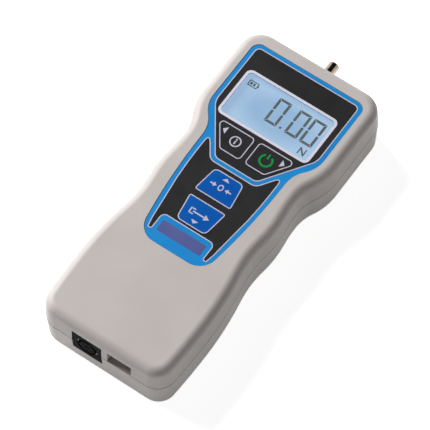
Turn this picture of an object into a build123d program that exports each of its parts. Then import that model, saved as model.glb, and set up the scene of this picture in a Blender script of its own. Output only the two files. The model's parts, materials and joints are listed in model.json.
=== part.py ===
from build123d import *
import math
import os

# Digital force gauge: a hand-held case with a display, four keys and a load shaft.
# Frame: +X to the right of the display, +Y along the load shaft, +Z out of the display.
# The origin is the middle of the flat back face. All sizes are in millimetres.
# A size that ends in DOWN is measured from the head end, and one that ends in UP from the base end.

# Case
CASE_LENGTH = 153.0
CASE_DEPTH = 27.0
HEAD_WIDTH = 66.0
THROAT_WIDTH = 55.6
BULGE_WIDTH = 57.8
BASE_WIDTH = 62.0
BASE_END_WIDTH = 59.4
HEAD_SIDE_DOWN = 36.0
SHOULDER_SPLIT = 0.42
THROAT_TOP_DOWN = 57.5
BULGE_DOWN = 73.6
THROAT_LOW_DOWN = 88.0
BASE_WIDEST_UP = 29.0
BASE_SPLIT = 0.75
HEAD_CORNER_RADIUS = 10.0
BASE_CORNER_RADIUS = 8.3
TOP_EDGE_RADIUS = 3.9
BACK_EDGE_RADIUS = 2.1
FRONT_COVER_DEPTH = 12.6
DRAFT_ANGLE = 2.9
SIDE_WALL = 2.0
TOP_WALL = 2.4
BACK_WALL = 2.2
PARTING_CHAMFER = 0.2
LIP_THICKNESS = 0.9
LIP_HEIGHT = 1.5
LIP_CLEARANCE = 0.1
CUT_OVERRUN = 1.0

# Label, display and keys
LABEL_TOP_DOWN = 7.0
LABEL_TAIL = 13.6
LABEL_HEAD_WIDTH = 53.4
LABEL_THROAT_WIDTH = 39.8
LABEL_FOOT_WIDTH = 30.6
LABEL_HEAD_END_DOWN = 37.0
LABEL_THROAT_DOWN = 54.5
LABEL_TOP_RADIUS = 3.7
LABEL_FOOT_RADIUS = 8.2
LABEL_THICKNESS = 0.4
LABEL_SINK = 0.2
LABEL_CLEARANCE = 0.15
WINDOW_WIDTH = 41.6
WINDOW_HEIGHT = 21.6
WINDOW_DOWN = 30.65
WINDOW_RADIUS = 1.6
LENS_RIM = 1.0
LENS_CLEARANCE = 0.2
LENS_STEP = 0.1
WINDOW_KEY_GAP = 2.95
UPPER_KEY_LENGTH = 11.6
UPPER_KEY_INNER_X = 1.1
UPPER_KEY_OUTER_X = 18.9
UPPER_KEY_FOOT_X = 10.8
UPPER_KEY_RADIUS = 1.7
KEY_ROW_GAP = 8.1
ZERO_KEY_LENGTH = 12.15
LOWER_KEY_GAP = 2.85
SEND_KEY_LENGTH = 12.1
LOWER_KEY_WIDE = 17.3
LOWER_KEY_NARROW = 13.9
LOWER_KEY_WIDE_RADIUS = 0.9
LOWER_KEY_NARROW_RADIUS = 2.4
KEY_GAP = 0.15
KEY_RAISE = 0.15
KEY_TRAVEL = 0.4
KEY_FLANGE = 0.7
KEY_FLANGE_THICKNESS = 0.5
KEY_STOP_GAP = 0.1
KEY_SEAT_GAP = 0.05
STEM_RADIUS = 1.8
STEM_CLEARANCE = 0.3
SWITCH_SIZE = 6.0
SWITCH_HEIGHT = 2.9
PLUNGER_RADIUS = 1.6
PLUNGER_CLEARANCE = 0.1
PLUNGER_HEIGHT = 2.05

# Boards and display stack
BOARD_THICKNESS = 1.6
LCD_WIDTH = 46.0
LCD_HEIGHT = 27.0
LCD_THICKNESS = 2.0
BACKLIGHT_THICKNESS = 1.8
STACK_GAP = 0.1
LCD_FRAME_WALL = 1.6
LCD_FRAME_CLEARANCE = 0.2
MAIN_BOARD_WIDTH = 49.6
MAIN_BOARD_TOP_DOWN = 11.5
MAIN_BOARD_TAIL = 3.3
MAIN_BOARD_SCREW_X = 20.0
MAIN_BOARD_SCREW_TOP_DOWN = 13.1
MAIN_BOARD_SCREW_INSET = 2.6
IO_BOARD_WIDTH = 40.0
IO_BOARD_TOP_UP = 34.5
IO_BOARD_WALL_GAP = 0.8
IO_BOSS_HEIGHT = 1.9
BOARD_NOTCH_GAP = 0.3
IO_BOARD_SCREW_X = 16.0
IO_BOARD_SCREW_UP = 31.5
BOARD_BOSS_RADIUS = 2.2
BOARD_SCREW_RADIUS = 1.15
BOARD_SCREW_CLEARANCE = 0.1
BOARD_SCREW_HEAD_RADIUS = 2.1
BOARD_SCREW_HEAD_HEIGHT = 1.5
BOARD_SCREW_BITE = 2.6
BOARD_SCREW_END_GAP = 0.2
AMP_BOARD_WIDTH = 34.0
AMP_BOARD_LENGTH = 29.0
AMP_BOARD_DOWN = 57.0
AMP_SPACER_HEIGHT = 2.8
AMP_SPACER_RADIUS = 2.4
AMP_SPACER_X = 12.0
AMP_SPACER_SPAN = 23.0
SHIELD_WIDTH = 17.0
SHIELD_LENGTH = 16.0
SHIELD_HEIGHT = 3.2
SHIELD_WALL = 0.4
BUZZER_RADIUS = 4.5
BUZZER_SIDE_INSET = 6.0
BUZZER_DOWN = 84.5
BUZZER_HEIGHT = 2.6
BUZZER_PORT_RADIUS = 0.9
CHIP_HEIGHT = 1.4
CHIPS = ((-6, 43, 14, 14), (10, 31, 9, 7), (-12, 25, 6, 5), (9, 51, 5, 8))
RIBBON_WIDTH = 12.0
RIBBON_THICKNESS = 0.3
RIBBON_OVERLAP = 3.0

# Load shaft, load cell and chassis
SHAFT_Z = 9.15
SHAFT_RADIUS = 2.45
SHAFT_NECK_RADIUS = 2.2
SHAFT_REACH = 11.0
SHAFT_CHAMFER = 0.7
SHAFT_TRAVEL = 0.25
SHAFT_BITE = 12.0
SHAFT_FIT = 0.05
NUT_ACROSS_FLATS = 8.0
NUT_HEIGHT = 3.5
BUSH_RADIUS = 4.4
BUSH_FIT = 0.05
BUSH_CLEARANCE = 0.3
BUSH_FLANGE_RADIUS = 5.8
BUSH_FLANGE_THICKNESS = 1.4
BUSH_SETBACK = 0.3
CHASSIS_THICKNESS = 3.0
CHASSIS_WIDTH = 47.0
CHASSIS_BOTTOM_DOWN = 76.5
CHASSIS_SETBACK = 0.8
CELL_RELIEF = 0.5
CELL_WIDTH = 50.0
CELL_ARM = 9.0
CELL_FRONT_DOWN = 14.5
CELL_DEPTH = 24.0
CELL_BRIDGE = 6.0
NOSE_WIDTH = 12.0
NOSE_LENGTH = 14.0
FLEXURE = 1.6
STOP_MARGIN = 0.05
STOP_RADIUS = 2.0
STOP_TAIL = 3.5
GAUGE_WIDTH = 5.0
GAUGE_HEIGHT = 4.0
GAUGE_THICKNESS = 0.15
CELL_SCREW_RADIUS = 1.5
CELL_SCREW_HEAD_RADIUS = 2.75
CELL_SCREW_HEAD_HEIGHT = 3.0
CELL_SCREW_INSET = 4.0
CELL_SCREW_SINK = 0.2
SCREW_FIT = 0.05
SOCKET_RADIUS = 1.2
SOCKET_DEPTH = 1.4

# Mounting holes in the back
MOUNT_SPACING_X = 36.0
MOUNT_SPACING_Y = 44.0
MOUNT_CENTRE_DOWN = 48.5
MOUNT_HOLE_RADIUS = 2.0
MOUNT_HOLE_DEPTH = 4.6
MOUNT_BUSH_RADIUS = 4.0
MOUNT_BUSH_FIT = 0.05

# Case screws
CASE_BOSS_RADIUS = 3.6
CASE_SCREW_RADIUS = 1.45
CASE_SCREW_PILOT = 1.5
CASE_SCREW_PASSAGE = 1.7
CASE_SCREW_HEAD_RADIUS = 2.75
CASE_SCREW_HEAD_HEIGHT = 2.0
CASE_SCREW_SINK = 0.8
CASE_SCREW_BITE = 7.0
COUNTERBORE_CLEARANCE = 0.3
HEAD_BOSS_SIDE_INSET = 6.0
HEAD_BOSS_END_INSET = 7.0
BASE_BOSS_SIDE_INSET = 5.6
BASE_BOSS_END_INSET = 6.0

# Sockets in the base end
DIN_WIDTH = 14.0
DIN_HEIGHT = 12.9
DIN_X = -6.3
DIN_DEPTH = 12.8
DIN_SETBACK = 0.3
DIN_CLEARANCE = 0.15
DIN_CORE_RADIUS = 3.5
DIN_GROOVE_RADIUS = 4.85
DIN_GROOVE_DEPTH = 6.5
DIN_SHIELD_THICKNESS = 0.3
DIN_SHIELD_SETBACK = 0.4
DIN_SHIELD_FIT = 0.05
DIN_PIN_RADIUS = 0.4
DIN_PIN_CIRCLE = 2.35
DIN_PIN_COUNT = 8
DIN_PIN_DEPTH = 5.0
DIN_KEY_WIDTH = 2.4
DIN_KEY_HEIGHT = 1.0
PORT_RECESS_WIDTH = 11.4
PORT_RECESS_DEPTH = 3.4
PORT_POCKET_WALL = 1.0
PORT_X = 9.3
PORT_SHELL_WIDTH = 7.7
PORT_SHELL_HEIGHT = 3.9
PORT_SHELL_DEPTH = 9.0
PORT_SHELL_WALL = 0.35
PORT_CLEARANCE = 0.15
PORT_TONGUE_WIDTH = 5.0
PORT_TONGUE_THICKNESS = 0.8
PORT_TONGUE_SETBACK = 1.0
PORT_HEEL_DEPTH = 2.0

# Battery
CELL_COUNT = 4
BATTERY_RADIUS = 5.25
BATTERY_LENGTH = 44.0
BATTERY_GAP = 0.2
TRAY_END_GAP = 1.2
BATTERY_BUTTON_RADIUS = 1.9
BATTERY_BUTTON_LENGTH = 0.5
TRAY_FLOOR = 0.6
TRAY_WALL = 1.0
TRAY_HEIGHT = 7.0
TAB_THICKNESS = 0.3
TAB_WIDTH = 5.0
TAB_ROOM = 0.3

# Bare plate on the back
PLATE_WIDTH = 42.0
PLATE_HEIGHT = 26.0
PLATE_UP = 34.5
PLATE_THICKNESS = 0.3
PLATE_SINK = 0.1
PLATE_CLEARANCE = 0.15
PLATE_RADIUS = 2.0

# Places and heights that follow from the sizes above
HALF_LENGTH = CASE_LENGTH / 2
HEAD_START_Y = HALF_LENGTH - HEAD_SIDE_DOWN
THROAT_TOP_Y = HALF_LENGTH - THROAT_TOP_DOWN
BULGE_Y = HALF_LENGTH - BULGE_DOWN
THROAT_LOW_Y = HALF_LENGTH - THROAT_LOW_DOWN
LABEL_TOP_Y = HALF_LENGTH - LABEL_TOP_DOWN
LABEL_HEAD_END_Y = HALF_LENGTH - LABEL_HEAD_END_DOWN
LABEL_THROAT_Y = HALF_LENGTH - LABEL_THROAT_DOWN
WINDOW_Y = HALF_LENGTH - WINDOW_DOWN
UPPER_KEY_TOP_Y = WINDOW_Y - WINDOW_HEIGHT / 2 - WINDOW_KEY_GAP
UPPER_KEY_BOTTOM_Y = UPPER_KEY_TOP_Y - UPPER_KEY_LENGTH
ZERO_KEY_TOP_Y = UPPER_KEY_BOTTOM_Y - KEY_ROW_GAP
ZERO_KEY_BOTTOM_Y = ZERO_KEY_TOP_Y - ZERO_KEY_LENGTH
SEND_KEY_TOP_Y = ZERO_KEY_BOTTOM_Y - LOWER_KEY_GAP
SEND_KEY_BOTTOM_Y = SEND_KEY_TOP_Y - SEND_KEY_LENGTH
LABEL_BOTTOM_Y = SEND_KEY_BOTTOM_Y - LABEL_TAIL
MAIN_BOARD_BOTTOM_Y = SEND_KEY_BOTTOM_Y - MAIN_BOARD_TAIL
MAIN_BOARD_SCREW_BOTTOM_Y = MAIN_BOARD_BOTTOM_Y + MAIN_BOARD_SCREW_INSET
MAIN_BOARD_TOP_Y = HALF_LENGTH - MAIN_BOARD_TOP_DOWN
MAIN_BOARD_SCREW_TOP_Y = HALF_LENGTH - MAIN_BOARD_SCREW_TOP_DOWN
AMP_BOARD_Y = HALF_LENGTH - AMP_BOARD_DOWN
CHASSIS_BOTTOM_Y = HALF_LENGTH - CHASSIS_BOTTOM_DOWN
CELL_FRONT_Y = HALF_LENGTH - CELL_FRONT_DOWN
MOUNT_CENTRE_Y = HALF_LENGTH - MOUNT_CENTRE_DOWN
BUZZER_Y = HALF_LENGTH - BUZZER_DOWN
BASE_WIDEST_Y = -HALF_LENGTH + BASE_WIDEST_UP
IO_BOARD_TOP_Y = -HALF_LENGTH + IO_BOARD_TOP_UP
IO_BOARD_SCREW_Y = -HALF_LENGTH + IO_BOARD_SCREW_UP
PLATE_Y = -HALF_LENGTH + PLATE_UP
PARTING_Z = CASE_DEPTH - FRONT_COVER_DEPTH
TOP_INNER_Z = CASE_DEPTH - TOP_WALL
LABEL_TOP_Z = CASE_DEPTH - LABEL_SINK
LABEL_FLOOR_Z = LABEL_TOP_Z - LABEL_THICKNESS
LCD_TOP_Z = TOP_INNER_Z - STACK_GAP
BACKLIGHT_TOP_Z = LCD_TOP_Z - LCD_THICKNESS
MAIN_BOARD_TOP_Z = BACKLIGHT_TOP_Z - BACKLIGHT_THICKNESS
MAIN_BOARD_BOTTOM_Z = MAIN_BOARD_TOP_Z - BOARD_THICKNESS
IO_BOARD_TOP_Z = TOP_INNER_Z - IO_BOSS_HEIGHT
IO_BOARD_BOTTOM_Z = IO_BOARD_TOP_Z - BOARD_THICKNESS
PORT_TOP_Z = IO_BOARD_BOTTOM_Z
IO_SCREW_BITE = min(BOARD_SCREW_BITE, IO_BOSS_HEIGHT + TOP_WALL / 3)
FLANGE_TOP_Z = LABEL_FLOOR_Z - KEY_SEAT_GAP
FLANGE_BOTTOM_Z = FLANGE_TOP_Z - KEY_FLANGE_THICKNESS
KEY_POCKET_Z = FLANGE_BOTTOM_Z - KEY_TRAVEL - KEY_STOP_GAP
PLUNGER_TOP_Z = MAIN_BOARD_TOP_Z + SWITCH_HEIGHT + KEY_TRAVEL + 2 * KEY_STOP_GAP
CHASSIS_TOP_Z = BACK_WALL + CHASSIS_THICKNESS
AMP_BOARD_BOTTOM_Z = CHASSIS_TOP_Z + AMP_SPACER_HEIGHT
AMP_BOARD_TOP_Z = AMP_BOARD_BOTTOM_Z + BOARD_THICKNESS
CELL_HEIGHT = 2 * (SHAFT_Z - CHASSIS_TOP_Z)
NOSE_BACK_Y = CELL_FRONT_Y - NOSE_LENGTH
STOP_GAP = SHAFT_TRAVEL + STOP_MARGIN
DIN_Z = IO_BOARD_BOTTOM_Z - DIN_HEIGHT / 2
BATTERY_Z = BACK_WALL + TRAY_FLOOR + BATTERY_RADIUS
BATTERY_PITCH = 2 * BATTERY_RADIUS + BATTERY_GAP
TRAY_BASE_Y = -HALF_LENGTH + DIN_SETBACK + DIN_DEPTH + TRAY_END_GAP + TRAY_WALL


# Small helpers
def draft_inset(z):
    """How far the drafted case wall has moved in at height z."""
    return math.tan(math.radians(DRAFT_ANGLE)) * abs(z - PARTING_Z)


def plate(sketch, low, high):
    """A sketch made into a flat plate from height low to height high."""
    return Pos(0, 0, low) * extrude(sketch, high - low)


def block(x0, x1, y0, y1, z0, z1):
    """A box between two corners."""
    return Pos((x0 + x1) / 2, (y0 + y1) / 2, (z0 + z1) / 2) * Box(x1 - x0, y1 - y0, z1 - z0)


def post(x, y, radius, low, high):
    """An upright cylinder."""
    return Pos(x, y, (low + high) / 2) * Cylinder(radius, high - low)


def rod(x, z, radius, y0, y1):
    """A cylinder along Y."""
    return Pos(x, (y0 + y1) / 2, z) * Rot(90, 0, 0) * Cylinder(radius, y1 - y0)


def at_points(points, make):
    """The same piece at several places, as separate solids."""
    return Compound(children=[make(x, y) for x, y in points])


def write(name, shape):
    """Write one node's STEP file."""
    shape.label = name
    export_step(shape, f"parts/{name}.step")


# Outlines seen from the front
def swing(start, finish, split=0.5):
    """Two arcs that leave start and reach finish along Y; they meet at split of the way."""
    middle = (start[0] + (finish[0] - start[0]) * split, start[1] + (finish[1] - start[1]) * split)
    return [TangentArc(start, middle, tangent=(0, 1)), TangentArc(finish, middle, tangent=(0, -1))]


def case_outline(inset):
    """The case seen from the front, drawn in by an inset on every side."""
    end = HALF_LENGTH - inset
    head = HEAD_WIDTH / 2 - inset
    foot = BASE_END_WIDTH / 2 - inset
    base = (BASE_WIDTH / 2 - inset, BASE_WIDEST_Y)
    throat_low = (THROAT_WIDTH / 2 - inset, THROAT_LOW_Y)
    bulge = (BULGE_WIDTH / 2 - inset, BULGE_Y)
    throat_top = (THROAT_WIDTH / 2 - inset, THROAT_TOP_Y)
    shoulder = (head, HEAD_START_Y)
    half = [Line((0, -end), (foot, -end)), TangentArc(base, (foot, -end), tangent=(0, -1))]
    half += swing(base, throat_low, BASE_SPLIT)
    half += swing(throat_low, bulge)
    half += swing(bulge, throat_top)
    half += swing(throat_top, shoulder, SHOULDER_SPLIT)
    half += [Line(shoulder, (head, end)), Line((head, end), (0, end))]
    right = Curve() + half
    face = make_face(right + mirror(right, Plane.YZ))
    for y, radius in ((end, HEAD_CORNER_RADIUS), (-end, BASE_CORNER_RADIUS)):
        corners = face.vertices().filter_by(lambda v: abs(v.X) > 1 and abs(v.Y - y) < 0.01)
        face = fillet(corners, radius - inset)
    return face


def label_outline(grow=0.0):
    """The printed label seen from the front, larger by grow on every side."""
    head = LABEL_HEAD_WIDTH / 2 + grow
    throat = LABEL_THROAT_WIDTH / 2 + grow
    foot = LABEL_FOOT_WIDTH / 2 + grow
    top = LABEL_TOP_Y + grow
    bottom = LABEL_BOTTOM_Y - grow
    half = [Line((0, bottom), (foot, bottom))]
    half += [TangentArc((throat, LABEL_THROAT_Y), (foot, bottom), tangent=(0, -1))]
    half += swing((throat, LABEL_THROAT_Y), (head, LABEL_HEAD_END_Y))
    half += [Line((head, LABEL_HEAD_END_Y), (head, top)), Line((head, top), (0, top))]
    right = Curve() + half
    face = make_face(right + mirror(right, Plane.YZ))
    corners = face.vertices().filter_by(lambda v: abs(v.X) > 1)
    face = fillet(corners.filter_by(lambda v: v.Y > top - 0.01), LABEL_TOP_RADIUS + grow)
    corners = face.vertices().filter_by(lambda v: abs(v.X) > 1)
    return fillet(corners.filter_by(lambda v: v.Y < bottom + 0.01), LABEL_FOOT_RADIUS + grow)


def upper_key_outline(side, grow=0.0):
    """A key under the display: side is -1 for the left one and 1 for the right one."""
    points = [
        (side * UPPER_KEY_INNER_X, UPPER_KEY_TOP_Y),
        (side * UPPER_KEY_OUTER_X, UPPER_KEY_TOP_Y),
        (side * UPPER_KEY_FOOT_X, UPPER_KEY_BOTTOM_Y),
        (side * UPPER_KEY_INNER_X, UPPER_KEY_BOTTOM_Y),
    ]
    face = make_face(Polyline(*points, close=True))
    face = fillet(face.vertices(), UPPER_KEY_RADIUS)
    return offset(face, grow) if grow else face


def lower_key_outline(wide_y, narrow_y, grow=0.0):
    """A key in the waist: wide edge towards the other key, narrow edge away from it."""
    wide = LOWER_KEY_WIDE / 2
    narrow = LOWER_KEY_NARROW / 2
    points = [(-wide, wide_y), (wide, wide_y), (narrow, narrow_y), (-narrow, narrow_y)]
    face = make_face(Polyline(*points, close=True))
    ends = face.vertices().filter_by(lambda v: abs(v.Y - wide_y) < 0.01)
    face = fillet(ends, LOWER_KEY_WIDE_RADIUS)
    ends = face.vertices().filter_by(lambda v: abs(v.Y - narrow_y) < 0.01)
    face = fillet(ends, LOWER_KEY_NARROW_RADIUS)
    return offset(face, grow) if grow else face


def key_outlines(grow=0.0):
    """The four keys' outlines by name."""
    return {
        "info": upper_key_outline(-1, grow),
        "power": upper_key_outline(1, grow),
        "zero": lower_key_outline(ZERO_KEY_BOTTOM_Y, ZERO_KEY_TOP_Y, grow),
        "send": lower_key_outline(SEND_KEY_TOP_Y, SEND_KEY_BOTTOM_Y, grow),
    }


UPPER_KEY_X = (UPPER_KEY_INNER_X + (UPPER_KEY_OUTER_X + UPPER_KEY_FOOT_X) / 2) / 2
UPPER_KEY_Y = (UPPER_KEY_TOP_Y + UPPER_KEY_BOTTOM_Y) / 2
KEY_CENTRES = {
    "info": (-UPPER_KEY_X, UPPER_KEY_Y),
    "power": (UPPER_KEY_X, UPPER_KEY_Y),
    "zero": (0.0, (ZERO_KEY_TOP_Y + ZERO_KEY_BOTTOM_Y) / 2),
    "send": (0.0, (SEND_KEY_TOP_Y + SEND_KEY_BOTTOM_Y) / 2),
}


def window_outline(grow):
    """The display opening, larger by grow on every side."""
    shape = RectangleRounded(WINDOW_WIDTH + 2 * grow, WINDOW_HEIGHT + 2 * grow, WINDOW_RADIUS + grow)
    return Pos(0, WINDOW_Y) * shape


def rear_plate_outline(grow):
    """The bare plate on the back, larger by grow on every side."""
    shape = RectangleRounded(PLATE_WIDTH + 2 * grow, PLATE_HEIGHT + 2 * grow, PLATE_RADIUS + grow)
    return Pos(0, PLATE_Y) * shape


# Places of repeated pieces
def case_screw_points():
    """The four case screws, near the corners."""
    head_x = HEAD_WIDTH / 2 - HEAD_BOSS_SIDE_INSET
    head_y = HALF_LENGTH - HEAD_BOSS_END_INSET
    base_x = BASE_END_WIDTH / 2 - BASE_BOSS_SIDE_INSET
    base_y = -HALF_LENGTH + BASE_BOSS_END_INSET
    return [(-head_x, head_y), (head_x, head_y), (-base_x, base_y), (base_x, base_y)]


def main_board_screw_points():
    """The main board's four screws."""
    return [(side * MAIN_BOARD_SCREW_X, y) for side in (-1, 1)
            for y in (MAIN_BOARD_SCREW_TOP_Y, MAIN_BOARD_SCREW_BOTTOM_Y)]


def io_board_screw_points():
    """The connector board's two screws."""
    return [(side * IO_BOARD_SCREW_X, IO_BOARD_SCREW_Y) for side in (-1, 1)]


def amp_spacer_points():
    """The amplifier board's four spacers."""
    return [(side * AMP_SPACER_X, AMP_BOARD_Y + end * AMP_SPACER_SPAN / 2)
            for side in (-1, 1) for end in (-1, 1)]


def mount_points():
    """The four mounting holes."""
    return [(side * MOUNT_SPACING_X / 2, MOUNT_CENTRE_Y + end * MOUNT_SPACING_Y / 2)
            for side in (-1, 1) for end in (-1, 1)]


def cell_screw_points():
    """The four screws that hold the load cell's arms to the chassis."""
    x = CELL_WIDTH / 2 - CELL_ARM / 2
    y0 = CELL_FRONT_Y - CELL_DEPTH + CELL_SCREW_INSET
    y1 = CELL_FRONT_Y - CELL_SCREW_INSET
    return [(side * x, y) for side in (-1, 1) for y in (y0, y1)]


# Case halves
def case_body(reach, inset=0.0):
    """The solid case from the parting plane up or down to the height reach."""
    body = extrude(case_outline(inset), abs(reach - PARTING_Z), taper=DRAFT_ANGLE)
    if reach < PARTING_Z:
        body = mirror(body, Plane.XY)
    return Pos(0, 0, PARTING_Z) * body


def socket_cutter():
    """The way in for the round socket, through the base wall of both case halves."""
    half = DIN_WIDTH / 2 + DIN_CLEARANCE
    rise = DIN_HEIGHT / 2 + DIN_CLEARANCE
    return block(DIN_X - half, DIN_X + half, -HALF_LENGTH - CUT_OVERRUN, -HALF_LENGTH + 2 * SIDE_WALL,
                 DIN_Z - rise, DIN_Z + rise)


def shaft_opening():
    """The way out for the shaft's bush, through the head wall."""
    return rod(0, SHAFT_Z, BUSH_RADIUS + BUSH_FIT, HALF_LENGTH - 2 * SIDE_WALL, HALF_LENGTH + CUT_OVERRUN)


def port_pocket(grow_x, back_y, low, high):
    """A block behind the base wall, around the small port's recess."""
    half = PORT_RECESS_WIDTH / 2 + grow_x
    return block(PORT_X - half, PORT_X + half, -HALF_LENGTH + SIDE_WALL / 2, back_y, low, high)


PORT_FACE_Y = -HALF_LENGTH + PORT_RECESS_DEPTH
PORT_POCKET_BACK_Y = PORT_FACE_Y + PORT_POCKET_WALL


def port_shell_cutter(grow):
    """The small port's metal shell, with room around it."""
    half = PORT_SHELL_WIDTH / 2 + grow
    return block(PORT_X - half, PORT_X + half, PORT_FACE_Y - CUT_OVERRUN, PORT_POCKET_BACK_Y + CUT_OVERRUN,
                 PORT_TOP_Z - PORT_SHELL_HEIGHT - grow, PORT_TOP_Z + BOARD_THICKNESS)


def front_cover():
    """The upper shell, with the label's recess, the display opening and the keys' pockets."""
    outer = case_body(CASE_DEPTH)
    outer = fillet(outer.faces().sort_by(Axis.Z)[-1].edges(), TOP_EDGE_RADIUS)
    outer = chamfer(outer.faces().sort_by(Axis.Z)[0].edges(), PARTING_CHAMFER)
    shell = outer - case_body(TOP_INNER_Z, SIDE_WALL)
    rebate = SIDE_WALL - LIP_THICKNESS - LIP_CLEARANCE
    shell -= case_body(PARTING_Z + LIP_HEIGHT + LIP_CLEARANCE, rebate)
    for x, y in case_screw_points():
        shell += post(x, y, CASE_BOSS_RADIUS, PARTING_Z, TOP_INNER_Z)
    for x, y in main_board_screw_points():
        shell += post(x, y, BOARD_BOSS_RADIUS, MAIN_BOARD_TOP_Z, TOP_INNER_Z)
    for x, y in io_board_screw_points():
        shell += post(x, y, BOARD_BOSS_RADIUS, IO_BOARD_TOP_Z, TOP_INNER_Z)
    shell += port_pocket(PORT_POCKET_WALL, PORT_POCKET_BACK_Y, PARTING_Z, TOP_INNER_Z)
    shell -= plate(label_outline(LABEL_CLEARANCE), LABEL_FLOOR_Z, CASE_DEPTH + CUT_OVERRUN)
    shell -= plate(window_outline(LENS_RIM + LENS_CLEARANCE), TOP_INNER_Z - CUT_OVERRUN, CASE_DEPTH)
    pockets = key_outlines(KEY_FLANGE + KEY_GAP)
    for name, (x, y) in KEY_CENTRES.items():
        shell -= plate(pockets[name], KEY_POCKET_Z, CASE_DEPTH)
        shell -= post(x, y, STEM_RADIUS + STEM_CLEARANCE, TOP_INNER_Z - CUT_OVERRUN, CASE_DEPTH)
    for x, y in case_screw_points():
        shell -= post(x, y, CASE_SCREW_PILOT, PARTING_Z, PARTING_Z + CASE_SCREW_BITE + CUT_OVERRUN)
    for x, y in main_board_screw_points():
        shell -= post(x, y, BOARD_SCREW_RADIUS + SCREW_FIT,
                      MAIN_BOARD_TOP_Z, MAIN_BOARD_TOP_Z + BOARD_SCREW_BITE)
    for x, y in io_board_screw_points():
        shell -= post(x, y, BOARD_SCREW_RADIUS + SCREW_FIT, IO_BOARD_TOP_Z, IO_BOARD_TOP_Z + IO_SCREW_BITE)
    half = PORT_RECESS_WIDTH / 2
    shell -= block(PORT_X - half, PORT_X + half, -HALF_LENGTH - CUT_OVERRUN, PORT_FACE_Y,
                   PARTING_Z, PORT_TOP_Z)
    shell -= port_shell_cutter(PORT_CLEARANCE)
    return shell - socket_cutter() - shaft_opening()


def rear_cover():
    """The lower shell, with its lip, screw bosses, the shaft's opening and the mounting holes."""
    outer = case_body(0)
    outer = fillet(outer.faces().sort_by(Axis.Z)[0].edges(), BACK_EDGE_RADIUS)
    outer = chamfer(outer.faces().sort_by(Axis.Z)[-1].edges(), PARTING_CHAMFER)
    shell = outer - case_body(BACK_WALL, SIDE_WALL)
    lip_top = PARTING_Z + LIP_HEIGHT
    lip = case_body(lip_top, SIDE_WALL - LIP_THICKNESS) - case_body(lip_top, SIDE_WALL)
    half = PORT_RECESS_WIDTH / 2 + PORT_POCKET_WALL + LIP_CLEARANCE
    lip -= block(PORT_X - half, PORT_X + half, -HALF_LENGTH, -HALF_LENGTH + 2 * SIDE_WALL,
                 PARTING_Z, lip_top)
    for x, y in case_screw_points():
        lip -= post(x, y, CASE_BOSS_RADIUS + LIP_CLEARANCE, PARTING_Z, lip_top)
    shell += lip
    for x, y in case_screw_points():
        shell += post(x, y, CASE_BOSS_RADIUS, BACK_WALL / 2, PARTING_Z)
    shell += port_pocket(PORT_POCKET_WALL, PORT_POCKET_BACK_Y, PARTING_Z - PORT_RECESS_DEPTH, PARTING_Z)
    head_top = CASE_SCREW_SINK + CASE_SCREW_HEAD_HEIGHT
    for x, y in case_screw_points():
        shell -= post(x, y, CASE_SCREW_PASSAGE, 0, PARTING_Z)
        shell -= post(x, y, CASE_SCREW_HEAD_RADIUS + COUNTERBORE_CLEARANCE, 0, head_top)
    for x, y in mount_points():
        shell -= post(x, y, MOUNT_BUSH_RADIUS + MOUNT_BUSH_FIT, 0, BACK_WALL)
    shell -= shaft_opening()
    shell -= plate(rear_plate_outline(PLATE_CLEARANCE), 0, PLATE_THICKNESS + PLATE_SINK)
    return shell - socket_cutter()


def case_screws():
    """Four screws from the back, through the rear bosses into the front bosses."""
    def screw(x, y):
        head_top = CASE_SCREW_SINK + CASE_SCREW_HEAD_HEIGHT
        head = post(x, y, CASE_SCREW_HEAD_RADIUS, CASE_SCREW_SINK, head_top)
        head -= post(x, y, SOCKET_RADIUS, CASE_SCREW_SINK, CASE_SCREW_SINK + SOCKET_DEPTH)
        return head + post(x, y, CASE_SCREW_RADIUS, head_top, PARTING_Z + CASE_SCREW_BITE)
    return at_points(case_screw_points(), screw)


# Label, lens and keys
def keypad_overlay():
    """The printed label, open at the display and at each key."""
    sheet = plate(label_outline(), LABEL_FLOOR_Z, LABEL_TOP_Z)
    sheet -= plate(window_outline(0), LABEL_FLOOR_Z, LABEL_TOP_Z)
    for outline in key_outlines(KEY_GAP).values():
        sheet -= plate(outline, LABEL_FLOOR_Z, LABEL_TOP_Z)
    return sheet


def display_window():
    """The clear lens: its rim lies under the label and its middle fills the label's opening."""
    rim = plate(window_outline(LENS_RIM), TOP_INNER_Z, LABEL_FLOOR_Z)
    middle = plate(window_outline(-LENS_CLEARANCE), LABEL_FLOOR_Z, LABEL_TOP_Z - LENS_STEP)
    return rim + middle


def key_cap(name):
    """One key: its head in the label, a flange under the label and a stem to its switch."""
    x, y = KEY_CENTRES[name]
    head = plate(key_outlines()[name], FLANGE_TOP_Z, LABEL_TOP_Z + KEY_RAISE)
    flange = plate(key_outlines(KEY_FLANGE)[name], FLANGE_BOTTOM_Z, FLANGE_TOP_Z)
    return head + flange + post(x, y, STEM_RADIUS, PLUNGER_TOP_Z, FLANGE_BOTTOM_Z)


def switch_plunger(name):
    """The moving button of one key's switch."""
    x, y = KEY_CENTRES[name]
    return post(x, y, PLUNGER_RADIUS, PLUNGER_TOP_Z - PLUNGER_HEIGHT, PLUNGER_TOP_Z)


def key_switches():
    """The four switch bodies on the main board."""
    def switch(x, y):
        half = SWITCH_SIZE / 2
        top = MAIN_BOARD_TOP_Z + SWITCH_HEIGHT
        floor = PLUNGER_TOP_Z - PLUNGER_HEIGHT - KEY_TRAVEL - KEY_STOP_GAP
        body = block(x - half, x + half, y - half, y + half, MAIN_BOARD_TOP_Z, top)
        return body - post(x, y, PLUNGER_RADIUS + PLUNGER_CLEARANCE, floor, top)
    return at_points(KEY_CENTRES.values(), switch)


# Display stack
def lcd_sheet(low, high):
    """A sheet of the display's size."""
    return Pos(0, WINDOW_Y, (low + high) / 2) * Box(LCD_WIDTH, LCD_HEIGHT, high - low)


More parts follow.
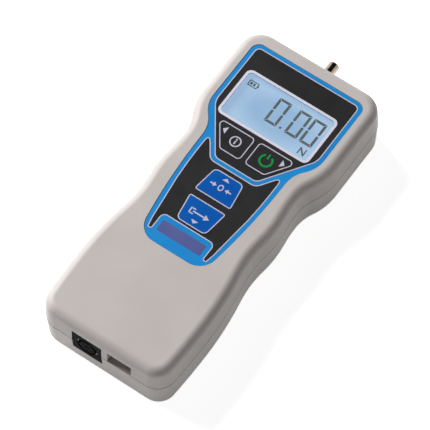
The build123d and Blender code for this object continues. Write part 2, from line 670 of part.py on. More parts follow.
def lcd_frame():
    """The frame around the glass and its light guide."""
    inner_w = LCD_WIDTH + 2 * LCD_FRAME_CLEARANCE
    inner_h = LCD_HEIGHT + 2 * LCD_FRAME_CLEARANCE
    outer = Rectangle(inner_w + 2 * LCD_FRAME_WALL, inner_h + 2 * LCD_FRAME_WALL)
    ring = outer - Rectangle(inner_w, inner_h)
    return plate(Pos(0, WINDOW_Y) * ring, MAIN_BOARD_TOP_Z, LCD_TOP_Z)


# Circuit boards
def board_screw(x, y, seat, bite):
    """A small pan-head screw put in from behind, its head under the board."""
    head = post(x, y, BOARD_SCREW_HEAD_RADIUS, seat - BOARD_SCREW_HEAD_HEIGHT, seat)
    return head + post(x, y, BOARD_SCREW_RADIUS, seat, seat + BOARD_THICKNESS + bite)


def screw_hole(x, y, low, high):
    """A clear hole for a small screw."""
    return post(x, y, BOARD_SCREW_RADIUS + BOARD_SCREW_CLEARANCE, low, high)


def boss_notches(low, high):
    """Room in a board for the case screws' bosses."""
    return Compound(children=[post(x, y, CASE_BOSS_RADIUS + BOARD_NOTCH_GAP, low, high)
                              for x, y in case_screw_points()])


def main_board():
    """The board that carries the display and the switches."""
    half = MAIN_BOARD_WIDTH / 2
    board = block(-half, half, MAIN_BOARD_BOTTOM_Y, MAIN_BOARD_TOP_Y, MAIN_BOARD_BOTTOM_Z, MAIN_BOARD_TOP_Z)
    board -= boss_notches(MAIN_BOARD_BOTTOM_Z, MAIN_BOARD_TOP_Z)
    for x, y in main_board_screw_points():
        board -= screw_hole(x, y, MAIN_BOARD_BOTTOM_Z, MAIN_BOARD_TOP_Z)
    return board


def io_board():
    """The board that carries the two sockets."""
    half = IO_BOARD_WIDTH / 2
    wall = -HALF_LENGTH + SIDE_WALL + draft_inset(IO_BOARD_TOP_Z)
    notch = port_pocket(PORT_POCKET_WALL + BOARD_NOTCH_GAP, PORT_POCKET_BACK_Y + BOARD_NOTCH_GAP,
                        IO_BOARD_BOTTOM_Z, IO_BOARD_TOP_Z)
    board = block(-half, half, wall + IO_BOARD_WALL_GAP, IO_BOARD_TOP_Y, IO_BOARD_BOTTOM_Z, IO_BOARD_TOP_Z)
    board -= notch + boss_notches(IO_BOARD_BOTTOM_Z, IO_BOARD_TOP_Z)
    for x, y in io_board_screw_points():
        board -= screw_hole(x, y, IO_BOARD_BOTTOM_Z, IO_BOARD_TOP_Z)
    return board


def amplifier_board():
    """The load cell's amplifier board, on its four spacers."""
    half = AMP_BOARD_WIDTH / 2
    y0 = AMP_BOARD_Y - AMP_BOARD_LENGTH / 2
    y1 = AMP_BOARD_Y + AMP_BOARD_LENGTH / 2
    board = block(-half, half, y0, y1, AMP_BOARD_BOTTOM_Z, AMP_BOARD_TOP_Z)
    for x, y in amp_spacer_points():
        board -= screw_hole(x, y, AMP_BOARD_BOTTOM_Z, AMP_BOARD_TOP_Z)
    return board


def amplifier_spacers():
    """Four tubes between the chassis and the amplifier board."""
    def spacer(x, y):
        tube = post(x, y, AMP_SPACER_RADIUS, CHASSIS_TOP_Z, AMP_BOARD_BOTTOM_Z)
        return tube - screw_hole(x, y, CHASSIS_TOP_Z, AMP_BOARD_BOTTOM_Z)
    return at_points(amp_spacer_points(), spacer)


def board_screws():
    """The screws of all three boards."""
    screws = [board_screw(x, y, MAIN_BOARD_BOTTOM_Z, BOARD_SCREW_BITE - BOARD_SCREW_END_GAP)
              for x, y in main_board_screw_points()]
    screws += [board_screw(x, y, IO_BOARD_BOTTOM_Z, IO_SCREW_BITE - BOARD_SCREW_END_GAP)
               for x, y in io_board_screw_points()]
    for x, y in amp_spacer_points():
        top = AMP_BOARD_TOP_Z
        head = post(x, y, BOARD_SCREW_HEAD_RADIUS, top, top + BOARD_SCREW_HEAD_HEIGHT)
        screws.append(head + post(x, y, BOARD_SCREW_RADIUS, BACK_WALL + CHASSIS_THICKNESS / 3, top))
    return Compound(children=screws)


def shield_can():
    """The metal lid over the amplifier."""
    def lid(grow, high):
        half_w = SHIELD_WIDTH / 2 + grow
        half_l = SHIELD_LENGTH / 2 + grow
        return block(-half_w, half_w, AMP_BOARD_Y - half_l, AMP_BOARD_Y + half_l, AMP_BOARD_TOP_Z, high)
    top = AMP_BOARD_TOP_Z + SHIELD_HEIGHT
    return lid(0, top) - lid(-SHIELD_WALL, top - SHIELD_WALL)


def board_chips():
    """The larger chips under the main board; each has its X, its way down the board, width and length."""
    def chip(x, down, width, length):
        y = MAIN_BOARD_TOP_Y - down
        return block(x - width / 2, x + width / 2, y - length / 2, y + length / 2,
                     MAIN_BOARD_BOTTOM_Z - CHIP_HEIGHT, MAIN_BOARD_BOTTOM_Z)
    return Compound(children=[chip(*values) for values in CHIPS])


def buzzer():
    """The sounder under the main board, with the hole in its face."""
    x = MAIN_BOARD_WIDTH / 2 - BUZZER_RADIUS - BUZZER_SIDE_INSET
    low = MAIN_BOARD_BOTTOM_Z - BUZZER_HEIGHT
    body = post(x, BUZZER_Y, BUZZER_RADIUS, low, MAIN_BOARD_BOTTOM_Z)
    return body - post(x, BUZZER_Y, BUZZER_PORT_RADIUS, low, low + BUZZER_HEIGHT / 2)


def io_ribbon():
    """The flat flexible link from the main board down to the connector board."""
    half = RIBBON_WIDTH / 2
    start = MAIN_BOARD_BOTTOM_Y + RIBBON_OVERLAP
    finish = IO_BOARD_TOP_Y - RIBBON_OVERLAP
    top = IO_BOARD_BOTTOM_Z
    level = MAIN_BOARD_TOP_Z
    lower = block(-half, half, MAIN_BOARD_BOTTOM_Y - RIBBON_OVERLAP, start, level, level + RIBBON_THICKNESS)
    upper = block(-half, half, finish, MAIN_BOARD_BOTTOM_Y - RIBBON_OVERLAP, top - RIBBON_THICKNESS, top)
    step = block(-half, half, MAIN_BOARD_BOTTOM_Y - RIBBON_OVERLAP - RIBBON_THICKNESS,
                 MAIN_BOARD_BOTTOM_Y - RIBBON_OVERLAP,
                 min(level, top - RIBBON_THICKNESS), max(level + RIBBON_THICKNESS, top))
    return lower + upper + step


# Chassis and load cell
def chassis_plate():
    """The metal plate that carries the load cell and the mounting bushes."""
    half = CHASSIS_WIDTH / 2
    base = block(-half, half, CHASSIS_BOTTOM_Y, CELL_FRONT_Y - CHASSIS_SETBACK, BACK_WALL, CHASSIS_TOP_Z)
    for x, y in mount_points():
        base -= post(x, y, MOUNT_BUSH_RADIUS + MOUNT_BUSH_FIT, BACK_WALL, CHASSIS_TOP_Z)
    for x, y in cell_screw_points():
        base -= post(x, y, CELL_SCREW_RADIUS + SCREW_FIT, BACK_WALL, CHASSIS_TOP_Z)
    for x, y in amp_spacer_points():
        base -= post(x, y, BOARD_SCREW_RADIUS + SCREW_FIT, BACK_WALL, CHASSIS_TOP_Z)
    return base


def mount_bushes():
    """Four threaded bushes, flush with the back, that carry the load to a stand."""
    def bush(x, y):
        body = post(x, y, MOUNT_BUSH_RADIUS, 0, CHASSIS_TOP_Z)
        return body - post(x, y, MOUNT_HOLE_RADIUS, 0, MOUNT_HOLE_DEPTH)
    return at_points(mount_points(), bush)


def load_cell():
    """The fixed part of the load cell: two arms, the bridge behind them and four thin flexures."""
    half = CELL_WIDTH / 2
    back = CELL_FRONT_Y - CELL_DEPTH
    top = CHASSIS_TOP_Z + CELL_HEIGHT
    body = block(-half, half, back, back + CELL_BRIDGE, CHASSIS_TOP_Z, top)
    inner = half - CELL_ARM
    for side in (-1, 1):
        x0, x1 = sorted((side * inner, side * half))
        body += block(x0, x1, back, CELL_FRONT_Y, CHASSIS_TOP_Z, top)
        x0, x1 = sorted((side * NOSE_WIDTH / 2, side * inner))
        for y in (NOSE_BACK_Y, CELL_FRONT_Y - FLEXURE):
            body += block(x0, x1, y, y + FLEXURE, CHASSIS_TOP_Z + CELL_RELIEF, top - CELL_RELIEF)
    seat = top - CELL_SCREW_SINK - CELL_SCREW_HEAD_HEIGHT
    for x, y in cell_screw_points():
        body -= post(x, y, CELL_SCREW_RADIUS + SCREW_FIT, CHASSIS_TOP_Z, top)
        body -= post(x, y, CELL_SCREW_HEAD_RADIUS + COUNTERBORE_CLEARANCE, seat, top)
    return body - rod(0, SHAFT_Z, STOP_RADIUS + SCREW_FIT, back, back + CELL_BRIDGE)


def load_cell_nose():
    """The block in the middle of the flexures, which the shaft is screwed into."""
    half = NOSE_WIDTH / 2
    low = CHASSIS_TOP_Z + CELL_RELIEF
    nose = block(-half, half, NOSE_BACK_Y, CELL_FRONT_Y, low, CHASSIS_TOP_Z + CELL_HEIGHT - CELL_RELIEF)
    return nose - rod(0, SHAFT_Z, SHAFT_NECK_RADIUS + SHAFT_FIT, CELL_FRONT_Y - SHAFT_BITE, CELL_FRONT_Y)


def strain_gauges():
    """Four foil gauges, one on the outer face of each flexure."""
    x = (NOSE_WIDTH / 2 + CELL_WIDTH / 2 - CELL_ARM) / 2
    patches = []
    for side in (-1, 1):
        x0 = side * x - GAUGE_WIDTH / 2
        for y in (NOSE_BACK_Y - GAUGE_THICKNESS, CELL_FRONT_Y):
            patches.append(block(x0, x0 + GAUGE_WIDTH, y, y + GAUGE_THICKNESS,
                                 SHAFT_Z - GAUGE_HEIGHT / 2, SHAFT_Z + GAUGE_HEIGHT / 2))
    return Compound(children=patches)


def load_cell_screws():
    """Four cap screws, sunk in the arms and screwed into the chassis."""
    crown = CHASSIS_TOP_Z + CELL_HEIGHT - CELL_SCREW_SINK
    seat = crown - CELL_SCREW_HEAD_HEIGHT

    def screw(x, y):
        head = post(x, y, CELL_SCREW_HEAD_RADIUS, seat, crown)
        head -= post(x, y, SOCKET_RADIUS, crown - SOCKET_DEPTH, crown)
        return head + post(x, y, CELL_SCREW_RADIUS, BACK_WALL + CHASSIS_THICKNESS / 6, seat)
    return at_points(cell_screw_points(), screw)


def overload_stop():
    """The screw in the bridge that the nose meets when the shaft is pushed too hard."""
    back = CELL_FRONT_Y - CELL_DEPTH
    stop = rod(0, SHAFT_Z, STOP_RADIUS, back - STOP_TAIL, NOSE_BACK_Y - STOP_GAP)
    return stop - rod(0, SHAFT_Z, SOCKET_RADIUS, back - STOP_TAIL, back - STOP_TAIL + SOCKET_DEPTH)


def load_shaft():
    """The measuring shaft, screwed into the nose; its free end carries the hooks and tips."""
    shaft = rod(0, SHAFT_Z, SHAFT_RADIUS, HALF_LENGTH, HALF_LENGTH + SHAFT_REACH)
    shaft = chamfer(shaft.faces().sort_by(Axis.Y)[-1].edges(), SHAFT_CHAMFER)
    return shaft + rod(0, SHAFT_Z, SHAFT_NECK_RADIUS, CELL_FRONT_Y - SHAFT_BITE, HALF_LENGTH)


def shaft_nut():
    """The nut that locks the shaft to the nose."""
    side = NUT_ACROSS_FLATS / 3 ** 0.5
    prism = Pos(0, CELL_FRONT_Y, SHAFT_Z) * Rot(-90, 0, 0) * extrude(RegularPolygon(side, 6), NUT_HEIGHT)
    return prism - rod(0, SHAFT_Z, SHAFT_NECK_RADIUS + SHAFT_FIT, CELL_FRONT_Y, CELL_FRONT_Y + NUT_HEIGHT)


def shaft_bush():
    """The dust bush in the head wall, clear of the shaft all round."""
    wall_outer = HALF_LENGTH - draft_inset(SHAFT_Z)
    wall_inner = HALF_LENGTH - SIDE_WALL - draft_inset(SHAFT_Z - BUSH_FLANGE_RADIUS)
    back = wall_inner - BUSH_FLANGE_THICKNESS
    bush = rod(0, SHAFT_Z, BUSH_RADIUS, back, wall_outer - BUSH_SETBACK)
    bush += rod(0, SHAFT_Z, BUSH_FLANGE_RADIUS, back, wall_inner)
    return bush - rod(0, SHAFT_Z, SHAFT_RADIUS + BUSH_CLEARANCE, back, wall_outer)


# Sockets
def output_connector():
    """The round output socket in its square body: a core with pin holes inside a round groove."""
    face = -HALF_LENGTH + DIN_SETBACK
    half = DIN_WIDTH / 2
    body = block(DIN_X - half, DIN_X + half, face, face + DIN_DEPTH,
                 DIN_Z - DIN_HEIGHT / 2, DIN_Z + DIN_HEIGHT / 2)
    groove = rod(DIN_X, DIN_Z, DIN_GROOVE_RADIUS, face, face + DIN_GROOVE_DEPTH)
    body -= groove - rod(DIN_X, DIN_Z, DIN_CORE_RADIUS, face, face + DIN_GROOVE_DEPTH)
    for pin in PolarLocations(DIN_PIN_CIRCLE, DIN_PIN_COUNT):
        place = pin.position
        body -= rod(DIN_X + place.X, DIN_Z + place.Y, DIN_PIN_RADIUS, face, face + DIN_PIN_DEPTH)
    key = DIN_KEY_WIDTH / 2
    rise = DIN_KEY_HEIGHT / 2
    return body - block(DIN_X - key, DIN_X + key, face, face + DIN_PIN_DEPTH, DIN_Z - rise, DIN_Z + rise)


def connector_shield():
    """The sheet-metal ring on the outer wall of the round groove."""
    face = -HALF_LENGTH + DIN_SETBACK + DIN_SHIELD_SETBACK
    back = -HALF_LENGTH + DIN_SETBACK + DIN_GROOVE_DEPTH
    outer = DIN_GROOVE_RADIUS - DIN_SHIELD_FIT
    ring = rod(DIN_X, DIN_Z, outer, face, back)
    return ring - rod(DIN_X, DIN_Z, outer - DIN_SHIELD_THICKNESS, face, back)


def usb_socket():
    """The small port's metal shell, under the connector board."""
    half = PORT_SHELL_WIDTH / 2
    low = PORT_TOP_Z - PORT_SHELL_HEIGHT
    back = PORT_FACE_Y + PORT_SHELL_DEPTH
    shell = block(PORT_X - half, PORT_X + half, PORT_FACE_Y, back, low, PORT_TOP_Z)
    wall = PORT_SHELL_WALL
    return shell - block(PORT_X - half + wall, PORT_X + half - wall, PORT_FACE_Y, back - wall,
                         low + wall, PORT_TOP_Z - wall)


def usb_tongue():
    """The contact tongue inside the small port, carried by the shell's back."""
    half = PORT_TONGUE_WIDTH / 2
    back = PORT_FACE_Y + PORT_SHELL_DEPTH - PORT_SHELL_WALL
    top = PORT_TOP_Z - PORT_SHELL_HEIGHT / 3
    tongue = block(PORT_X - half, PORT_X + half, PORT_FACE_Y + PORT_TONGUE_SETBACK, back,
                   top - PORT_TONGUE_THICKNESS, top)
    heel = PORT_SHELL_WIDTH / 2 - PORT_SHELL_WALL
    return tongue + block(PORT_X - heel, PORT_X + heel, back - PORT_HEEL_DEPTH, back,
                          PORT_TOP_Z - PORT_SHELL_HEIGHT + PORT_SHELL_WALL, PORT_TOP_Z - PORT_SHELL_WALL)


# Battery
def battery_rows():
    """The middle line of each cell along Y, from the head end's side to the base."""
    return [TRAY_BASE_Y + (CELL_COUNT - i) * BATTERY_PITCH - BATTERY_RADIUS for i in range(CELL_COUNT)]


def battery_cells():
    """The rechargeable cells, side by side across the case, turned head to tail."""
    def cell(i, y):
        side = 1 if i % 2 else -1
        can = Cylinder(BATTERY_RADIUS, BATTERY_LENGTH - BATTERY_BUTTON_LENGTH)
        button = Pos(0, 0, BATTERY_LENGTH / 2) * Cylinder(BATTERY_BUTTON_RADIUS, BATTERY_BUTTON_LENGTH)
        whole = Pos(0, 0, -BATTERY_BUTTON_LENGTH / 2) * (can + button)
        return Pos(0, y, BATTERY_Z) * Rot(0, 90 * side, 0) * whole
    return Compound(children=[cell(i, y) for i, y in enumerate(battery_rows())])


def battery_tray():
    """The open tray that the cells lie in."""
    half = BATTERY_LENGTH / 2 + TAB_THICKNESS + TAB_ROOM
    y0 = TRAY_BASE_Y
    y1 = TRAY_BASE_Y + CELL_COUNT * BATTERY_PITCH + BATTERY_GAP
    top = BACK_WALL + TRAY_HEIGHT
    tray = block(-half - TRAY_WALL, half + TRAY_WALL, y0 - TRAY_WALL, y1 + TRAY_WALL, BACK_WALL, top)
    return tray - block(-half, half, y0, y1, BACK_WALL + TRAY_FLOOR, top)


def battery_tabs():
    """Welded tabs that join the cells' ends in series."""
    rows = battery_rows()
    end = BATTERY_LENGTH / 2

    def tab(side, ya, yb):
        x0, x1 = sorted((side * end, side * (end + TAB_THICKNESS)))
        return block(x0, x1, yb - TAB_WIDTH / 2, ya + TAB_WIDTH / 2,
                     BATTERY_Z - TAB_WIDTH / 2, BATTERY_Z + TAB_WIDTH / 2)
    tabs = [tab(1 if i % 2 else -1, rows[i], rows[i + 1]) for i in range(CELL_COUNT - 1)]
    return Compound(children=tabs)


def rear_plate():
    """A bare plate in a shallow recess in the back."""
    return plate(rear_plate_outline(0), PLATE_SINK, PLATE_SINK + PLATE_THICKNESS)


# Write every node
os.makedirs("parts", exist_ok=True)
write("front_cover", front_cover())
write("rear_cover", rear_cover())
write("case_screws", case_screws())
write("keypad_overlay", keypad_overlay())
write("display_window", display_window())
for key_name in KEY_CENTRES:
    write(f"{key_name}_key", key_cap(key_name))
    write(f"{key_name}_plunger", switch_plunger(key_name))
write("key_switches", key_switches())
write("lcd_panel", lcd_sheet(BACKLIGHT_TOP_Z, LCD_TOP_Z))
write("backlight", lcd_sheet(MAIN_BOARD_TOP_Z, BACKLIGHT_TOP_Z))
write("lcd_frame", lcd_frame())
write("main_board", main_board())
write("board_chips", board_chips())
write("buzzer", buzzer())
write("io_board", io_board())
write("io_ribbon", io_ribbon())
write("amplifier_board", amplifier_board())
write("amplifier_spacers", amplifier_spacers())
write("shield_can", shield_can())
write("board_screws", board_screws())
write("chassis_plate", chassis_plate())
write("mount_bushes", mount_bushes())
write("load_cell", load_cell())
write("load_cell_nose", load_cell_nose())
write("strain_gauges", strain_gauges())
write("load_cell_screws", load_cell_screws())
write("overload_stop", overload_stop())
write("load_shaft", load_shaft())
write("shaft_nut", shaft_nut())
write("shaft_bush", shaft_bush())
write("output_connector", output_connector())
write("connector_shield", connector_shield())
write("usb_socket", usb_socket())
write("usb_tongue", usb_tongue())
write("battery_cells", battery_cells())
write("battery_tray", battery_tray())
write("battery_tabs", battery_tabs())
write("rear_plate", rear_plate())
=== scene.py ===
"""Looks of a hand-held digital force gauge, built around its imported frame.

The frame gives the case, keys, boards, load cell and sockets. This script dresses every node of it,
prints the label, the keys and the display, and sets the floor, the lights and the camera.
Sizes in the classes are millimetres in the gauge's own frame: +X right of the display, +Y along the
load shaft, +Z out of the display.
"""

import json
import logging
import math
from dataclasses import dataclass
from enum import Enum
from typing import Iterable, Sequence

import bmesh
import bpy
from mathutils import Matrix, Vector


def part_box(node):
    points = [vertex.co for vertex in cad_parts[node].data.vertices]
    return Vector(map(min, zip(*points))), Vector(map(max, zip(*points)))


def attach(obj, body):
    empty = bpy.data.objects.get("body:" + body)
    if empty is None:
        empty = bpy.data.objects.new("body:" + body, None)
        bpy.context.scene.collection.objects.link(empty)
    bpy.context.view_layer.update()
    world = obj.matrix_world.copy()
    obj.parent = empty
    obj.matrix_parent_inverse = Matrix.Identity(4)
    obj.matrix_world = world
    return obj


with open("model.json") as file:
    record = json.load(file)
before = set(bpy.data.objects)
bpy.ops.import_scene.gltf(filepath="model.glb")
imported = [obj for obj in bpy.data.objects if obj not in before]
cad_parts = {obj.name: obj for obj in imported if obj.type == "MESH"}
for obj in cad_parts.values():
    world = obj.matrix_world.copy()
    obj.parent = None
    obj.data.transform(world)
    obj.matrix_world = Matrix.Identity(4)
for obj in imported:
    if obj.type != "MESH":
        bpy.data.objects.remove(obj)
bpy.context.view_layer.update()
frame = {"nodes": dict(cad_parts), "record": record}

MM = 0.001
WELD = 0.001 * MM
CORNER_STEPS = 8
RING_STEPS = 32
Rgb = tuple[float, float, float]
Point = tuple[float, float]
Corner = tuple[float, float, float]
log = logging.getLogger("gauge")


def linear(colour: Rgb) -> tuple[float, float, float, float]:
    """Turn an 8-bit display colour into the linear colour of a socket.

    Args:
        colour: Red, green and blue from 0 to 255.

    Returns:
        The linear colour with an alpha of 1.
    """
    parts = [part / 255 for part in colour]
    return (*[part / 12.92 if part <= 0.04045 else ((part + 0.055) / 1.055) ** 2.4 for part in parts], 1.0)


# Shader graphs


class Wire:
    """An output socket whose arithmetic adds Math nodes to its graph."""

    def __init__(self, graph: "Graph", socket: bpy.types.NodeSocket) -> None:
        """Keep the graph and the socket."""
        self.graph = graph
        self.socket = socket

    def __add__(self, other: "Wire | float") -> "Wire":
        """Return the sum."""
        return self.graph.math("ADD", self, other)

    def __radd__(self, other: float) -> "Wire":
        """Return the sum with the number first."""
        return self.graph.math("ADD", other, self)

    def __sub__(self, other: "Wire | float") -> "Wire":
        """Return the difference."""
        return self.graph.math("SUBTRACT", self, other)

    def __rsub__(self, other: float) -> "Wire":
        """Return the number less this value."""
        return self.graph.math("SUBTRACT", other, self)

    def __mul__(self, other: "Wire | float") -> "Wire":
        """Return the product."""
        return self.graph.math("MULTIPLY", self, other)

    def __rmul__(self, other: float) -> "Wire":
        """Return the product with the number first."""
        return self.graph.math("MULTIPLY", other, self)


class Graph:
    """The node tree of one material."""

    def __init__(self, material: bpy.types.Material) -> None:
        """Empty the material's tree."""
        material.use_nodes = True
        self.tree = material.node_tree
        self.tree.nodes.clear()

    def node(self, kind: str, settings: dict[str, object], inputs: dict[int | str, object],
             output: int = 0) -> Wire:
        """Add one node.

        Args:
            kind: The node's type.
            settings: Its properties, set first; "stops" fills a ramp.
            inputs: Values or wires of its sockets, by name or number.
            output: Which output the returned wire reads.

        Returns:
            The wire of that output.
        """
        made = self.tree.nodes.new(kind)
        for key, value in settings.items():
            if key == "stops":
                self._fill_ramp(made.color_ramp, value)
            else:
                setattr(made, key, value)
        for key, value in inputs.items():
            if isinstance(value, Wire):
                self.tree.links.new(value.socket, made.inputs[key])
            else:
                made.inputs[key].default_value = value
        outputs = made.outputs
        return Wire(self, outputs[output]) if len(outputs) else Wire(self, None)

    def _fill_ramp(self, ramp: bpy.types.ColorRamp, stops: Sequence[tuple[float, float]]) -> None:
        """Give a grey ramp its stops, each a place and a level."""
        while len(ramp.elements) < len(stops):
            ramp.elements.new(1.0)
        for element, (place, level) in zip(ramp.elements, stops):
            element.position = place
            element.color = (level, level, level, 1.0)

    def math(self, operation: str, first: "Wire | float", second: "Wire | float") -> Wire:
        """Add a Math node on two values."""
        return self.node("ShaderNodeMath", {"operation": operation}, {0: first, 1: second})

    def place(self, stretch: Sequence[float] = (1.0, 1.0, 1.0)) -> Wire:
        """Return the object coordinates, scaled by stretch."""
        where = self.node("ShaderNodeTexCoord", {}, {}, 3)
        return self.node("ShaderNodeMapping", {}, {"Vector": where, "Scale": tuple(stretch)})

    def noise(self, where: Wire, size: float, detail: float = 2.0) -> Wire:
        """Return soft noise from 0 to 1 whose blotches are about size millimetres wide."""
        inputs = {"Vector": where, "Scale": 1 / (size * MM), "Detail": detail}
        return self.node("ShaderNodeTexNoise", {}, inputs)

    def ramp(self, value: Wire, *stops: tuple[float, float]) -> Wire:
        """Return the value led through a grey ramp."""
        return self.node("ShaderNodeValToRGB", {"stops": stops}, {"Fac": value})

    def blend(self, factor: "Wire | float", first: object, second: object) -> Wire:
        """Return a mix of two colours."""
        return self.node("ShaderNodeMix", {"data_type": "RGBA"}, {0: factor, 6: first, 7: second}, 2)

    def bump(self, height: Wire, depth: float, strength: float = 1.0) -> Wire:
        """Return normals raised by height times depth millimetres."""
        inputs = {"Height": height, "Distance": depth * MM, "Strength": strength}
        return self.node("ShaderNodeBump", {}, inputs)

    def finish(self, shader: Wire) -> None:
        """Lead the shader to the output."""
        self.node("ShaderNodeOutputMaterial", {}, {"Surface": shader})


class Grain(Enum):
    """How a surface's grain is drawn out along X, Y and Z."""

    EVEN = (1.0, 1.0, 1.0)
    RINGS_ALONG_Y = (0.02, 1.0, 0.02)
    DRAWN_ALONG_Y = (1.0, 0.03, 1.0)
    DRAWN_ALONG_X = (0.03, 1.0, 1.0)
    RINGS_ALONG_Z = (0.03, 0.03, 1.0)


@dataclass(frozen=True)
class Finish:
    """A surface finish with a fine grain, a second tone and rubbed patches.

    Attributes:
        slot: The record's material slot.
        colour: Main colour, 0 to 255.
        tone: Colour towards which the surface varies.
        roughness: Mean roughness.
        metallic: 1 for metal.
        grain: Direction of the fine grain.
        grain_size: Width of the grain, in millimetres.
        relief: Height of the grain, in millimetres.
        patch: Width of the broad patches, in millimetres.
        coat: Weight of a clear coat.
        sheen: Level of the surface's own gloss.
    """

    slot: str
    colour: Rgb
    tone: Rgb
    roughness: float
    metallic: float = 0.0
    grain: Grain = Grain.EVEN
    grain_size: float = 0.5
    relief: float = 0.01
    patch: float = 14.0
    coat: float = 0.0
    sheen: float = 0.5

    def material(self) -> bpy.types.Material:
        """Make the material."""
        made = bpy.data.materials.new(self.slot)
        graph = Graph(made)
        graph.finish(graph.node("ShaderNodeBsdfPrincipled", {}, self.sockets(graph)))
        return made

    def sockets(self, graph: Graph) -> dict[int | str, object]:
        """Work out the sockets of the main shader.

        Args:
            graph: The material's graph.

        Returns:
            Values and wires by socket name.
        """
        fine = graph.noise(graph.place(self.grain.value), self.grain_size, 3.0)
        broad = graph.noise(graph.place(), self.patch)
        rubbed = graph.ramp(graph.noise(graph.place(), self.patch * 0.3, 4.0), (0.52, 0.0), (0.72, 1.0))
        mottle = graph.ramp(broad * 0.7 + fine * 0.3, (0.35, 0.0), (0.65, 1.0))
        return {
            "Base Color": graph.blend(mottle, linear(self.colour), linear(self.tone)),
            "Roughness": self.roughness + (fine - 0.5) * 0.08 - rubbed * 0.06,
            "Metallic": self.metallic,
            "Coat Weight": self.coat,
            "Coat Roughness": 0.12,
            "Specular IOR Level": self.sheen,
            "Normal": graph.bump(fine, self.relief),
        }


@dataclass(frozen=True)
class LitPanel(Finish):
    """A display panel lit from behind, brighter towards its edges. Its own light is partly painted light:
    it is set strong enough to wash out the shadow that the window's edge casts on the panel.

    Attributes:
        glow: Strength of its own light, both backlight and painted light over the window's shadow.
        half: Half width and half height of the lit field, in millimetres.
        centre: Y of the field's middle, in millimetres.
    """

    glow: float = 0.3
    half: tuple[float, float] = (20.8, 10.8)
    centre: float = 45.85

    def sockets(self, graph: Graph) -> dict[int | str, object]:
        """Add the light of the panel to the plain sockets."""
        made = super().sockets(graph)
        spot = graph.node(
            "ShaderNodeMapping",
            {"vector_type": "TEXTURE"},
            {
                "Vector": graph.place(),
                "Location": (0.0, self.centre * MM, 0.0),
                "Scale": (self.half[0] * MM, self.half[1] * MM, 1.0),
            },
        )
        away = graph.node("ShaderNodeVectorMath", {"operation": "LENGTH"}, {0: spot}, 1)
        edge = graph.ramp(away, (0.55, 0.0), (1.35, 1.0))
        lit = graph.blend(edge, linear(self.colour), linear(self.tone))
        # Painted light: the base colour is cut to 0.15 of the lit colour, so the glow, which no shadow
        # dims, makes most of the panel's colour.
        made["Base Color"] = graph.blend(0.85, lit, (0.0, 0.0, 0.0, 1.0))
        made["Emission Color"] = lit
        made["Emission Strength"] = self.glow
        return made


@dataclass(frozen=True)
class ClearSheet(Finish):
    """A clear glossy sheet that lets most of the light through.

    Attributes:
        veil: How much of the sheet's own surface shows.
    """

    veil: float = 0.05

    def sockets(self, graph: Graph) -> dict[int | str, object]:
        """Thin out the sheet."""
        made = super().sockets(graph)
        smear = graph.ramp(graph.noise(graph.place(), 9.0, 4.0), (0.4, 0.0), (0.8, 1.0))
        made["Alpha"] = self.veil + smear * 0.03
        return made


@dataclass(frozen=True)
class CircuitBoard(Finish):
    """Solder mask over copper tracks and tinned pads.

    Attributes:
        track: Colour over the tracks.
        pad: Colour of the pads.
        pitch: Distance between the tracks, in millimetres.
    """

    track: Rgb = (38, 120, 70)
    pad: Rgb = (200, 195, 180)
    pitch: float = 1.27

    def sockets(self, graph: Graph) -> dict[int | str, object]:
        """Lay tracks and pads over the plain sockets."""
        made = super().sockets(graph)
        lines = graph.node(
            "ShaderNodeTexBrick",
            {"offset": 0.5, "squash": 1.0},
            {
                "Vector": graph.place(),
                "Color1": (0.0, 0.0, 0.0, 1.0),
                "Color2": (0.0, 0.0, 0.0, 1.0),
                "Mortar": (1.0, 1.0, 1.0, 1.0),
                "Scale": 1.0,
                "Mortar Size": 0.12 * MM,
                "Brick Width": 7 * self.pitch * MM,
                "Row Height": self.pitch * MM,
            },
        )
        dots = graph.node("ShaderNodeTexVoronoi", {}, {"Vector": graph.place(), "Scale": 1 / (2.4 * MM)})
        pads = graph.ramp(dots, (0.16, 1.0), (0.2, 0.0))
        tracks = graph.blend(lines, made["Base Color"], linear(self.track))
        made["Base Color"] = graph.blend(pads, tracks, linear(self.pad))
        made["Metallic"] = pads * 0.9
        return made


@dataclass(frozen=True)
class WrappedCell(Finish):
    """A shrink-wrapped cell with a band in a second colour at one end.

    Attributes:
        band: Colour of the band.
        start: Y from which the band runs, in millimetres.
    """

    band: Rgb = (225, 225, 222)
    start: float = -26.0

    def sockets(self, graph: Graph) -> dict[int | str, object]:
        """Add the band."""
        made = super().sockets(graph)
        along = graph.node("ShaderNodeSeparateXYZ", {}, {"Vector": graph.place()}, 1)
        past = graph.math("GREATER_THAN", along, self.start * MM)
        made["Base Color"] = graph.blend(past, made["Base Color"], linear(self.band))
        return made


@dataclass(frozen=True)
class Weave(Finish):
    """Embossed film with a fine crossed pattern.

    Attributes:
        pitch: Distance between the pattern's lines, in millimetres.
        emboss: Height of the pattern, in millimetres.
    """

    pitch: float = 0.5
    emboss: float = 0.012

    def sockets(self, graph: Graph) -> dict[int | str, object]:
        """Cross two sets of fine lines over the plain sockets."""
        made = super().sockets(graph)
        scale = 1 / (self.pitch * MM) / math.tau * 2
        across, along = [
            graph.node(
                "ShaderNodeTexWave", {"bands_direction": way}, {"Vector": graph.place(), "Scale": scale}, 1,
            )
            for way in ("X", "Y")
        ]
        crossed = across * along
        made["Base Color"] = graph.blend(crossed * 0.5, made["Base Color"], linear(self.tone))
        made["Normal"] = graph.bump(crossed, self.emboss)
        return made


